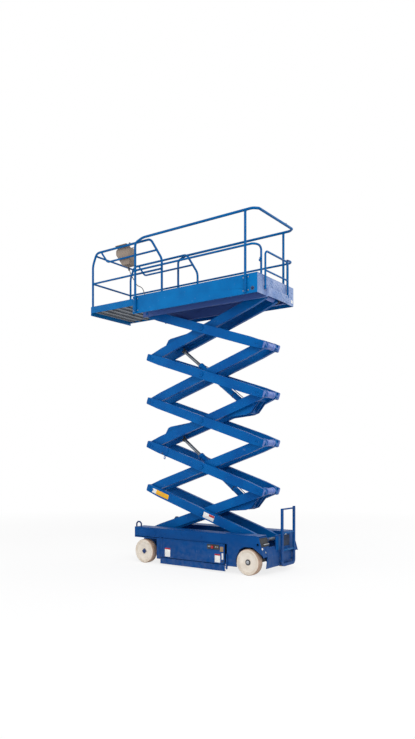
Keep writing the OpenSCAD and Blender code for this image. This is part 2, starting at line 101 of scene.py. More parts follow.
def on_inner(k: int, s: float, y: float, n: float) -> Vector:
    """Point on inner arm k: s along it from its front pin, n above its centre line."""
    z = PIN_Z + (k - 1) * STAGE + s * math.sin(ANGLE) + n * math.cos(ANGLE)
    return at(FRONT_X - s * math.cos(ANGLE) + n * math.sin(ANGLE), y, z)


def on_outer(k: int, s: float, y: float, n: float) -> Vector:
    """Point on outer arm k: s along it from its rear pin, n above its centre line."""
    z = PIN_Z + (k - 1) * STAGE + s * math.sin(ANGLE) + n * math.cos(ANGLE)
    return at(REAR_X + s * math.cos(ANGLE) - n * math.sin(ANGLE), y, z)


def patch_on_outer(
    k: int, along: tuple[float, float], across: tuple[float, float], y: float = OUTER_OUT
) -> list[Vector]:
    """Corners of a rectangle on outer arm k, between two lengths and two heights."""
    (s0, s1), (n0, n1) = along, across
    return [on_outer(k, s0, y, n1), on_outer(k, s1, y, n1), on_outer(k, s1, y, n0), on_outer(k, s0, y, n0)]


def linear(hex_code: str) -> tuple[float, float, float, float]:
    """Scene-linear colour of an sRGB hex code.

    Args:
        hex_code: Colour as #rrggbb.

    Returns:
        Red, green, blue and full alpha.
    """
    out = []
    for i in (1, 3, 5):
        v = int(hex_code[i:i + 2], 16) / 255
        out.append(v / 12.92 if v <= 0.04045 else ((v + 0.055) / 1.055) ** 2.4)
    return (out[0], out[1], out[2], 1.0)


def calc(tree: bpy.types.NodeTree, operation: str, first: object, second: object) -> bpy.types.NodeSocket:
    """Adds a Math node.

    Args:
        tree: Node tree to add to.
        operation: What the node does.
        first: Socket or number.
        second: Socket or number.

    Returns:
        The result's socket.
    """
    node = tree.nodes.new("ShaderNodeMath")
    node.operation = operation
    for slot, value in enumerate((first, second)):
        if isinstance(value, bpy.types.NodeSocket):
            tree.links.new(value, node.inputs[slot])
        else:
            node.inputs[slot].default_value = value
    return node.outputs[0]


class Kind(Enum):
    """How a finish is built from its nodes."""

    PAINT = "paint"
    RUBBER = "rubber"
    METAL = "metal"
    DECK = "deck"
    PLASTIC = "plastic"


@dataclass(frozen=True)
class Finish:
    """A surface finish: its colours, gloss and the size of its marks."""

    name: str
    kind: Kind
    colour: str
    second: str
    rough: float
    metallic: float = 0.0
    mark: float = 6.0
    bump: float = 0.05
    dust: float = 0.0
    shine: float = 0.35
    tint: tuple[float, float, float] = (1.0, 1.0, 1.0)
    under: str = ""

    def material(self) -> bpy.types.Material:
        """Builds the material once and returns it.

        Returns:
            The node material that carries this finish.
        """
        old = bpy.data.materials.get(self.name)
        if old:
            return old
        mat = bpy.data.materials.new(self.name)
        mat.use_nodes = True
        tree = mat.node_tree
        tree.nodes.clear()
        out = tree.nodes.new("ShaderNodeOutputMaterial")
        bsdf = tree.nodes.new("ShaderNodeBsdfPrincipled")
        tree.links.new(bsdf.outputs[0], out.inputs[0])
        bsdf.inputs["Metallic"].default_value = self.metallic
        bsdf.inputs["Specular IOR Level"].default_value = self.shine
        bsdf.inputs["Specular Tint"].default_value = (*self.tint, 1.0)
        coord = tree.nodes.new("ShaderNodeTexCoord")
        base = self._noise(tree, coord, self.mark, 4.0)
        mix = self._mix(tree, self._ramp(tree, base, 0.35, 0.68), linear(self.colour), linear(self.second))
        colour = mix
        if self.kind in (Kind.PAINT, Kind.PLASTIC):
            scuff = self._noise(tree, coord, self.mark * 9, 8.0)
            colour = self._mix(tree, self._ramp(tree, scuff, 0.66, 0.8, 0.35), mix, self._lift(0.25))
        if self.kind is Kind.DECK:
            colour = self._painted_below(tree, coord, bsdf, self._lugged(tree, coord, mix))
        if self.dust:
            colour = self._dusty(tree, coord, colour)
        tree.links.new(colour, bsdf.inputs["Base Color"])
        gloss = self._noise(tree, coord, self.mark * 3, 6.0)
        span = tree.nodes.new("ShaderNodeMapRange")
        span.inputs["To Min"].default_value = max(0.05, self.rough - 0.09)
        span.inputs["To Max"].default_value = min(0.95, self.rough + 0.12)
        tree.links.new(gloss, span.inputs[0])
        tree.links.new(span.outputs[0], bsdf.inputs["Roughness"])
        fine = self._noise(tree, coord, self.mark * 40, 3.0, self.kind is Kind.METAL)
        bump = tree.nodes.new("ShaderNodeBump")
        bump.inputs["Strength"].default_value = self.bump
        bump.inputs["Distance"].default_value = 0.002
        tree.links.new(fine, bump.inputs["Height"])
        tree.links.new(bump.outputs[0], bsdf.inputs["Normal"])
        return mat

    def _lift(self, share: float) -> tuple[float, float, float, float]:
        """The finish's colour, lightened by a share."""
        c = linear(self.colour)
        return (c[0] + (1 - c[0]) * share, c[1] + (1 - c[1]) * share, c[2] + (1 - c[2]) * share, 1.0)

    @staticmethod
    def _noise(
        tree: bpy.types.NodeTree, coord: bpy.types.Node, scale: float, detail: float, brushed: bool = False
    ) -> bpy.types.NodeSocket:
        """Noise on Object coordinates.

        Args:
            tree: Node tree to add to.
            coord: Texture Coordinate node.
            scale: Marks per metre.
            detail: Octaves.
            brushed: Stretches the marks along X.

        Returns:
            The noise value's socket.
        """
        tex = tree.nodes.new("ShaderNodeTexNoise")
        tex.inputs["Scale"].default_value = scale
        tex.inputs["Detail"].default_value = detail
        source = coord.outputs["Object"]
        if brushed:
            stretch = tree.nodes.new("ShaderNodeMapping")
            stretch.inputs["Scale"].default_value = (0.12, 1, 1)
            tree.links.new(source, stretch.inputs[0])
            source = stretch.outputs[0]
        tree.links.new(source, tex.inputs[0])
        return tex.outputs[0]

    @staticmethod
    def _ramp(
        tree: bpy.types.NodeTree, value: bpy.types.NodeSocket, low: float, high: float, top: float = 1.0
    ) -> bpy.types.NodeSocket:
        """Maps low..high of a value to 0..top, clamped.

        Args:
            tree: Node tree to add to.
            value: Socket to map.
            low: Value that gives 0.
            high: Value that gives top.
            top: Highest result.

        Returns:
            The result's socket.
        """
        span = tree.nodes.new("ShaderNodeMapRange")
        span.inputs["From Min"].default_value = low
        span.inputs["From Max"].default_value = high
        span.inputs["To Max"].default_value = top
        tree.links.new(value, span.inputs[0])
        return span.outputs[0]

    @staticmethod
    def _mix(
        tree: bpy.types.NodeTree, factor: bpy.types.NodeSocket, first: object, second: object
    ) -> bpy.types.NodeSocket:
        """Mixes two colours.

        Args:
            tree: Node tree to add to.
            factor: Share of the second colour.
            first: Socket or colour.
            second: Socket or colour.

        Returns:
            The mixed colour's socket.
        """
        mix = tree.nodes.new("ShaderNodeMix")
        mix.data_type = "RGBA"
        tree.links.new(factor, mix.inputs[0])
        for slot, value in ((6, first), (7, second)):
            if isinstance(value, tuple):
                mix.inputs[slot].default_value = value
            else:
                tree.links.new(value, mix.inputs[slot])
        return mix.outputs[2]

    def _painted_below(
        self, tree: bpy.types.NodeTree, coord: bpy.types.Node, bsdf: bpy.types.Node,
        colour: bpy.types.NodeSocket
    ) -> bpy.types.NodeSocket:
        """Keeps the bare sheet on top of the deck and paints what is below it.

        Args:
            tree: Node tree to add to.
            coord: Texture Coordinate node.
            bsdf: Shader whose metal follows the sheet.
            colour: The sheet's colour.

        Returns:
            The colour's socket.
        """
        above = calc(tree, "GREATER_THAN", self._height(tree, coord), DECK_Z - 0.002)
        tree.links.new(calc(tree, "MULTIPLY", above, self.metallic), bsdf.inputs["Metallic"])
        return self._mix(tree, above, linear(self.under), colour)

    @staticmethod
    def _lugged(
        tree: bpy.types.NodeTree, coord: bpy.types.Node, colour: bpy.types.NodeSocket
    ) -> bpy.types.NodeSocket:
        """Shades a sheet with a diagonal tread pattern.

        Args:
            tree: Node tree to add to.
            coord: Texture Coordinate node.
            colour: The sheet's colour.

        Returns:
            The shaded colour's socket.
        """
        turn = tree.nodes.new("ShaderNodeMapping")
        turn.inputs["Rotation"].default_value = (0, 0, math.radians(45))
        tree.links.new(coord.outputs["Object"], turn.inputs[0])
        lug = tree.nodes.new("ShaderNodeTexBrick")
        tree.links.new(turn.outputs[0], lug.inputs[0])
        lug.inputs["Scale"].default_value = 28
        lug.inputs["Mortar Size"].default_value = 0.03
        for name, grey in (("Color1", 1.0), ("Color2", 0.85), ("Mortar", 0.35)):
            lug.inputs[name].default_value = (grey, grey, grey, 1)
        shade = tree.nodes.new("ShaderNodeMix")
        shade.data_type, shade.blend_type = "RGBA", "MULTIPLY"
        shade.inputs[0].default_value = 0.7
        tree.links.new(colour, shade.inputs[6])
        tree.links.new(lug.outputs[0], shade.inputs[7])
        return shade.outputs[2]

    @staticmethod
    def _height(tree: bpy.types.NodeTree, coord: bpy.types.Node) -> bpy.types.NodeSocket:
        """Height above the floor.

        Args:
            tree: Node tree to add to.
            coord: Texture Coordinate node.

        Returns:
            The height's socket.
        """
        part = tree.nodes.new("ShaderNodeSeparateXYZ")
        tree.links.new(coord.outputs["Object"], part.inputs[0])
        return part.outputs[2]

    def _dusty(
        self, tree: bpy.types.NodeTree, coord: bpy.types.Node, colour: bpy.types.NodeSocket
    ) -> bpy.types.NodeSocket:
        """Adds pale floor dust that fades out upwards.

        Args:
            tree: Node tree to add to.
            coord: Texture Coordinate node.
            colour: Colour below the dust.

        Returns:
            The dusty colour's socket.
        """
        low = self._ramp(tree, self._height(tree, coord), 0.55, 0.0, self.dust)
        grain = self._ramp(tree, self._noise(tree, coord, 14, 6.0), 0.35, 0.75)
        return self._mix(tree, calc(tree, "MULTIPLY", low, grain), colour, linear(FLOOR_DUST))


SKY = (0.2, 0.5, 1.0)
NAVY = Finish("navy_shell", Kind.PAINT, "#074889", "#083f7c", 0.42, mark=2.2, dust=0.14, shine=0.14, tint=SKY)
BLUE = Finish("blue_arms", Kind.PAINT, "#02589c", "#034a8e", 0.4, mark=2.6, shine=0.14, tint=SKY)
# Rail tubes get the boards' blue made darker: painted shade set against the extra light that round tubes
# catch.
RAIL_SHADED = Finish("blue_rails_painted_shade", Kind.PAINT, "#045c9a", "#06518c", 0.38, mark=3.0, shine=0.14, tint=SKY)
BOARD = Finish("blue_boards", Kind.PAINT, "#0469aa", "#065d9c", 0.38, mark=3.0, shine=0.14, tint=SKY)
# Lighter lilac blue on the arm end faces and rear sleeves: a painted highlight of paint glare.
GLARE_BLUE = Finish("blue_bosses_painted_highlight", Kind.PAINT, "#5f78ba", "#4f6aae", 0.36, mark=5.0, shine=0.3)
ROD = Finish("dark_rods", Kind.METAL, "#74797f", "#5f646b", 0.3, metallic=0.85, mark=6.0, bump=0.05)
PALE = Finish("violet_sheet", Kind.PAINT, "#8194bd", "#4e72a9", 0.42, mark=4.0)
DARK = Finish("dark_running_gear", Kind.PAINT, "#23262b", "#2e3238", 0.5, mark=8.0, dust=0.3)
STEEL = Finish("bare_steel", Kind.METAL, "#a6a9ad", "#8c9096", 0.32, metallic=0.9, mark=6.0, bump=0.08)
TYRE = Finish("cream_rubber", Kind.RUBBER, "#e2d9cc", "#d3c6b6", 0.72, mark=9.0, bump=0.12, dust=0.2)
# Browner band on the tyre tread: painted shade.
TREAD_SHADED = Finish("tread_painted_shade", Kind.RUBBER, "#b99f8d", "#a58974", 0.78, mark=12.0, bump=0.2, dust=0.2)
DECKING = Finish("deck_sheet", Kind.DECK, "#7c7f84", "#66696f", 0.5, metallic=0.55, mark=3.0, under="#3c5a9a")
UNDER = Finish("grey_ribs", Kind.PAINT, "#70757c", "#5d6269", 0.5, mark=4.0)
TAUPE = Finish("taupe_case", Kind.PLASTIC, "#94867a", "#85766a", 0.55, mark=3.0, bump=0.04)
TAN = Finish("tan_plate", Kind.PLASTIC, "#9a7f5c", "#876d4c", 0.5, mark=10.0)
BLACK = Finish("black_plastic", Kind.PLASTIC, "#17181a", "#222326", 0.5, mark=12.0)
NYLON = Finish("grey_slider", Kind.PLASTIC, "#6d7480", "#5c636e", 0.45, mark=12.0)
RED = Finish("red_knob", Kind.PLASTIC, "#b5202a", "#9a1b24", 0.35, mark=20.0)
DISC = Finish("cream_disc", Kind.PAINT, "#e6ded2", "#d8cdbf", 0.5, mark=8.0, dust=0.2)
HUB = Finish("dark_blue_hub", Kind.PAINT, "#15305f", "#1a386a", 0.4, mark=12.0, shine=0.2)
WHITE = Finish("blank_plate", Kind.PLASTIC, "#e9e9e6", "#dcdcd8", 0.4, mark=10.0)
YELLOW = Finish("yellow_plate", Kind.PLASTIC, "#e6ac14", "#d89c0c", 0.4, mark=10.0)

NODE_FINISH: dict[str, Finish] = {
    "chassis_frame": NAVY, "rear_shell": NAVY, "ladder": NAVY, "door_left": NAVY, "door_right": NAVY,
    "guard_left": NAVY, "guard_right": NAVY, "side_plate_left": BOARD, "side_plate_right": BOARD,
    "end_plate": PALE, "battery_blocks": BLACK, "tie_down_loops": HUB, "front_axle": DARK, "rear_axle": DARK,
    "knuckle_left": DARK, "knuckle_right": DARK, "tie_rod": STEEL, "ground_panel": BLACK,
    "base_rollers": NYLON, "top_rollers": NYLON, "lower_barrel": BLUE, "upper_barrel": BLUE, "lower_rod": ROD,
    "upper_rod": ROD, "deck_frame": DECKING, "ext_deck": UNDER, "rail_left": RAIL_SHADED, "rail_right": RAIL_SHADED,
    "rail_rear": RAIL_SHADED, "gate": RAIL_SHADED, "ext_rail_left": RAIL_SHADED, "ext_rail_right": RAIL_SHADED, "ext_rail_front": RAIL_SHADED,
    "control_box": TAUPE, "control_cord": BLACK
}


class Axis(Enum):
    """Direction that a turned or plate piece faces."""

    X = (1, 0, 0)
    BACK = (-1, 0, 0)
    Y = (0, 1, 0)
    RIGHT = (0, -1, 0)
    Z = (0, 0, 1)
    DOWN = (0, 0, -1)


def heading(axis: Axis | Vector) -> Vector:
    """Unit vector along an axis."""
    return Vector(axis.value) if isinstance(axis, Axis) else Vector(axis).normalized()


def outward(way: int) -> Axis:
    """Axis that faces out of the left side (1) or the right side (-1)."""
    return Axis.Y if way > 0 else Axis.RIGHT


class Bench:
    """Edit-mode modelling steps shared by the sub-assemblies."""

    @staticmethod
    def clear() -> None:
        """Leaves edit mode and deselects everything."""
        if bpy.context.mode != "OBJECT":
            bpy.ops.object.mode_set(mode="OBJECT")
        bpy.ops.object.select_all(action="DESELECT")

    @staticmethod
    def only(obj: bpy.types.Object) -> None:
        """Selects one object and makes it active.

        Args:
            obj: The object.
        """
        Bench.clear()
        obj.select_set(True)
        bpy.context.view_layer.objects.active = obj

    @staticmethod
    @contextmanager
    def editing() -> Iterator[None]:
        """Edit mode on the active object, with all of it selected."""
        bpy.ops.object.mode_set(mode="EDIT")
        bpy.ops.mesh.select_all(action="SELECT")
        yield
        bpy.ops.object.mode_set(mode="OBJECT")

    @staticmethod
    def settle(obj: bpy.types.Object) -> bpy.types.Object:
        """Puts an object's place, turn and size into its mesh.

        Args:
            obj: The object.

        Returns:
            The same object.
        """
        Bench.only(obj)
        bpy.ops.object.transform_apply(location=True, rotation=True, scale=True)
        return obj

    @staticmethod
    def raw(verts: list, edges: list, faces: list) -> bpy.types.Object:
        """A new mesh object from a few points.

        Args:
            verts: Points.
            edges: Pairs of point numbers.
            faces: Rings of point numbers.

        Returns:
            The new object, selected.
        """
        mesh = bpy.data.meshes.new("raw")
        mesh.from_pydata([tuple(v) for v in verts], edges, faces)
        obj = bpy.data.objects.new("raw", mesh)
        bpy.context.scene.collection.objects.link(obj)
        Bench.only(obj)
        return obj

    @staticmethod
    def block(lo: Vector, hi: Vector, bevel: float = 0.003, segments: int = 2) -> bpy.types.Object:
        """A box with rounded edges.

        Args:
            lo: Lowest corner.
            hi: Highest corner.
            bevel: Edge radius.
            segments: Steps in each edge.

        Returns:
            The new object.
        """
        Bench.clear()
        lo, hi = Vector(lo), Vector(hi)
        bpy.ops.mesh.primitive_cube_add(size=1, location=(lo + hi) / 2, scale=[abs(c) for c in hi - lo])
        obj = Bench.settle(bpy.context.active_object)
        with Bench.editing():
            thinnest = min(abs(c) for c in hi - lo)
            bpy.ops.mesh.bevel(offset=min(bevel, CUT_SHARE * thinnest), segments=segments, affect="EDGES")
        return obj

    @staticmethod
    def turned(
        profile: list[tuple[float, float]], centre: Vector, axis: Axis | Vector, steps: int = 32
    ) -> bpy.types.Object:
        """A solid of revolution.

        Args:
            profile: (radius, height along the axis) pairs.
            centre: Where height 0 lies.
            axis: Direction of height.
            steps: Facets round it.

        Returns:
            The new object.
        """
        obj = Bench.raw([(r, 0, h) for r, h in profile], [(i, i + 1) for i in range(len(profile) - 1)], [])
        with Bench.editing():
            bpy.ops.mesh.spin(steps=steps, angle=math.tau, center=(0, 0, 0), axis=(0, 0, 1))
            bpy.ops.mesh.select_all(action="SELECT")
            bpy.ops.mesh.remove_doubles(threshold=MERGE)
            bpy.ops.mesh.normals_make_consistent(inside=False)
        obj.rotation_euler = heading(axis).to_track_quat("Z", "Y").to_euler()
        obj.location = centre
        return Bench.settle(obj)

    @staticmethod
    def plate(outline: list[Vector], push: Vector, bevel: float = 0.002) -> bpy.types.Object:
        """A flat outline given thickness and rounded edges.

        Args:
            outline: Corner points in order.
            push: Thickness as a vector.
            bevel: Edge radius.

        Returns:
            The new object.
        """
        obj = Bench.raw(outline, [], [tuple(range(len(outline)))])
        with Bench.editing():
            bpy.ops.mesh.extrude_region_move(TRANSFORM_OT_translate={"value": tuple(push)})
            bpy.ops.mesh.select_all(action="SELECT")
            bpy.ops.mesh.normals_make_consistent(inside=False)
            bpy.ops.mesh.bevel(offset=bevel, segments=2, affect="EDGES")
        return obj

    @staticmethod
    def card(
        xs: tuple[float, float], zs: tuple[float, float], y: float, deep: float, bevel: float = 0.002
    ) -> bpy.types.Object:
        """An upright oblong plate that faces sideways.

        Args:
            xs: Its two ends.
            zs: Its foot and top.
            y: Face that it stands on.
            deep: Thickness, negative towards the right.
            bevel: Edge radius.

        Returns:
            The new object.
        """
        (x0, x1), (z0, z1) = xs, zs
        return Bench.plate(
            [at(x0, y, z1), at(x1, y, z1), at(x1, y, z0), at(x0, y, z0)], Vector((0, deep, 0)), bevel
        )

    @staticmethod
    def tube(points: list[Vector], radius: float, bend: float = 0.03, sides: int = 4) -> bpy.types.Object:
        """A round bar through points, its corners bent to a radius.

        Args:
            points: Centre line.
            radius: Bar radius.
            bend: Length taken from each leg at a corner.
            sides: Facets in a quarter of the bar.

        Returns:
            The new object as a mesh.
        """
        Bench.clear()
        line = [Vector(points[0])]
        for before, here, after in zip(points, points[1:], points[2:]):
            before, here, after = Vector(before), Vector(here), Vector(after)
            one, two = before - here, after - here
            cut = min(bend, one.length * CUT_SHARE, two.length * CUT_SHARE)
            start, end = here + one.normalized() * cut, here + two.normalized() * cut
            for i in range(BEND_STEPS + 1):
                t = i / BEND_STEPS
                line.append((1 - t) ** 2 * start + 2 * t * (1 - t) * here + t * t * end)
        line.append(Vector(points[-1]))
        Bench.only(Bench.bar("bar", line, radius, sides))
        bpy.ops.object.convert(target="MESH")
        return bpy.context.active_object

    @staticmethod
    def bar(name: str, line: list[Vector], radius: float, sides: int) -> bpy.types.Object:
        """A round curve along a line, closed at its ends.

        Args:
            name: Name of the object and its curve.
            line: Centre line.
            radius: Bar radius.
            sides: Facets in a quarter of the bar.

        Returns:
            The new curve object.
        """
        curve = bpy.data.curves.new(name, "CURVE")
        curve.dimensions, curve.use_fill_caps = "3D", True
        curve.bevel_depth, curve.bevel_resolution = radius, sides
        spline = curve.splines.new("POLY")
        spline.points.add(len(line) - 1)
        for point, place in zip(spline.points, line):
            point.co = (*place, 1)
        obj = bpy.data.objects.new(name, curve)
        bpy.context.scene.collection.objects.link(obj)
        return obj

    @staticmethod
    def weld(place: Vector, axis: Axis, radius: float, post: float) -> bpy.types.Object:
        """A weld bead round a bar where it meets the side of a post.

        Args:
            place: Where the two centre lines meet.
            axis: Direction in which the bar leaves the post.
            radius: Bar radius.
            post: Post radius.

        Returns:
            The new object.
        """
        start, end = post - 0.004, post + 0.005
        inside = radius - 0.001
        swell = [(radius + 0.004, start), (radius + 0.0035, post), (radius + 0.0015, end - 0.001)]
        return Bench.turned([(inside, start)] + swell + [(inside, end)], place, axis, 20)

    @staticmethod
    def bolt(place: Vector, axis: Axis | Vector, radius: float) -> bpy.types.Object:
        """A hexagon head on a washer, standing on a face.

        Args:
            place: Where the washer meets the face.
            axis: Direction out of the face.
            radius: Head radius, which scales the rest.

        Returns:
            The new object.
        """
        way = heading(axis)
        rim = [(1.45, 0), (1.45, 0.18), (1.3, 0.25), (0, 0.25)]
        washer = Bench.turned([(0, 0)] + [(r * radius, h * radius) for r, h in rim], place, way, 20)
        Bench.clear()
        turn = way.to_track_quat("Z", "Y").to_euler()
        middle = Vector(place) + way * radius * 0.62
        bpy.ops.mesh.primitive_cylinder_add(
            vertices=6, radius=radius, depth=radius * 0.8, location=middle, rotation=turn
        )
        head = Bench.settle(bpy.context.active_object)
        with Bench.editing():
            bpy.ops.mesh.bevel(offset=radius * 0.1, segments=2, affect="EDGES")
        return Bench.join([washer, head])

    @staticmethod
    def join(objs: list[bpy.types.Object]) -> bpy.types.Object:
        """One object from several.

        Args:
            objs: Objects to join, the first one staying.

        Returns:
            The joined object.
        """
        Bench.clear()
        for obj in objs:
            obj.select_set(True)
        bpy.context.view_layer.objects.active = objs[0]
        if len(objs) > 1:
            bpy.ops.object.join()
        return bpy.context.active_object

    @staticmethod
    def fit(
        objs: list[bpy.types.Object] | bpy.types.Object, name: str, finish: Finish, body: str, slot: str,
        *nodes: str
    ) -> bpy.types.Object:
        """Joins, names, smooths and dresses a piece and sets it on its body.

        Args:
            objs: Pieces that become one.
            name: Piece name.
            finish: Its surface.
            body: CAD body that it rides on.
            slot: Material slot of the record; not used.
            nodes: CAD nodes that it replaces.

        Returns:
            The finished piece.
        """
        obj = Bench.join(objs if isinstance(objs, list) else [objs])
        obj.name = name
        obj.data.materials.clear()
        obj.data.materials.append(finish.material())
        Bench.only(obj)
        bpy.ops.object.shade_smooth_by_angle(angle=SMOOTH_ANGLE)
        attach(obj, body)
        if nodes:
            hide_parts(*nodes)
        LOG.info("%s on %s", name, body)
        return obj


EDGED: dict[str, float] = {
    "chassis_frame": 0.004, "rear_shell": 0.004, "door_left": 0.005, "door_right": 0.005, "guard_left": 0.003,
    "guard_right": 0.003, "ladder": 0.004, "front_axle": 0.004, "rear_axle": 0.004, "deck_frame": 0.003,
    "side_plate_left": 0.002, "side_plate_right": 0.002, "ext_deck": 0.002
}


def dress_nodes(frame: dict) -> None:
    """Gives every CAD node its finish and rounds the edges of folded and welded ones.
    """
    for name, obj in frame["nodes"].items():
        finish = NODE_FINISH.get(name)
        if finish is None:
            finish = TYRE if name.startswith("tyre") else STEEL if name.startswith("hub") else BLUE
        obj.data.materials.clear()
        obj.data.materials.append(finish.material())
        width = EDGED.get(name, ARM_EDGE if "_arm_" in name else 0.0)
        if width:
            weld = obj.modifiers.new("weld", "WELD")
            weld.merge_threshold = NODE_MERGE
            bevel = obj.modifiers.new("edges", "BEVEL")
            bevel.width, bevel.segments, bevel.limit_method, bevel.angle_limit = width, 2, "ANGLE", EDGE_ANGLE
            bevel.use_clamp_overlap, bevel.harden_normals = True, True


@dataclass
class Wheels:
    """Solid pale tyres on dished discs."""

    radius: float = 0.203
    width: float = 0.125
    over: float = 1.170
    axle: float = 1.0475
    rim: float = 0.150
    cap: float = 0.048

    def build(self) -> None:
        """Models every wheel and sets it on its own body."""
        for end, x in (("front", self.axle), ("rear", -self.axle)):
            for side, way in SIDES:
                self._wheel(end, side, at(x, way * (self.over - self.width) / 2, self.radius), outward(way))

    def _wheel(self, end: str, side: str, centre: Vector, out: Axis) -> None:
        """One tyre with its tread band browner as painted shade, its smooth disc and its hub.

        Args:
            end: Front or rear.
            side: Left or right.
            centre: Middle of the wheel.
            out: Axis that faces away from the machine.
        """
        r, h, m = self.radius, self.width / 2, self.rim
        body, way = f"wheel_{end}_{side}", Vector(out.value)
        wall = [
            (m, -h + 0.004), (m + 0.012, -h), (r - 0.02, -h), (r - 0.0105, -h + 0.0032),
            (r - 0.0105, h - 0.0032), (r - 0.02, h), (m + 0.026, h), (m + 0.0235, h - 0.0022),
            (m + 0.0195, h - 0.0022), (m + 0.017, h), (m + 0.008, h - 0.001), (m, h - 0.005), (m, -h + 0.004)
        ]
        Bench.fit(
            Bench.turned(wall, centre, out, 96), f"tyre_wall_{end}_{side}", TYRE, body, "cream_tyre",
            f"tyre_{end}_{side}"
        )
        tread = [
            (r - 0.0108, -h + 0.003), (r - 0.006, -h + 0.0065), (r - 0.0015, -h + 0.014), (r, -h + 0.028),
            (r, h - 0.028), (r - 0.0015, h - 0.014), (r - 0.006, h - 0.0065), (r - 0.0108, h - 0.003),
            (r - 0.0108, -h + 0.003)
        ]
        # The tread band is browner than the wall: painted shade.
        Bench.fit(Bench.turned(tread, centre, out, 96), f"tyre_tread_{end}_{side}", TREAD_SHADED, body, "cream_tyre")
        dish = [
            (0.0256, -0.054), (0.06, -0.054), (0.07, -0.03), (0.12, -0.024), (0.136, -0.056), (m, -0.058),
            (m, 0.0555), (m - 0.002, 0.0575), (m - 0.008, 0.0575), (m - 0.013, 0.0545), (m - 0.022, 0.0505),
            (0.07, 0.0463), (0.0256, 0.046), (0.0256, -0.054)
        ]
        Bench.fit(
            Bench.turned(dish, centre, out, 72), f"disc_{end}_{side}", DISC, body, "steel",
            f"hub_{end}_{side}"
        )
        face = centre + way * 0.0455
        if end == "front":
            corners = [face + Vector(c) * self.cap for c in ((1, 0, 0), (0, 0, 1), (-1, 0, 0), (0, 0, -1))]
            cap = [Bench.plate(corners, way * 0.0145, 0.004)]
        else:
            ring = Bench.turned(
                [
                    (0, 0), (0.046, 0), (0.046, 0.003), (0.044, 0.0055), (0.036, 0.0055), (0.034, 0.004),
                    (0, 0.004)
                ],
                face, out, 40
            )
            Bench.fit(ring, f"hub_ring_{end}_{side}", DARK, body, "steel")
            cap = [
                Bench.turned(
                    [
                        (0, 0.003), (0.03, 0.003), (0.03, 0.011), (0.026, 0.0135), (0.014, 0.0135),
                        (0.012, 0.0115), (0, 0.0115)
                    ],
                    face, out, 6
                )
            ]
        Bench.fit(cap, f"hub_cap_{end}_{side}", HUB if end == "front" else STEEL, body, "steel")


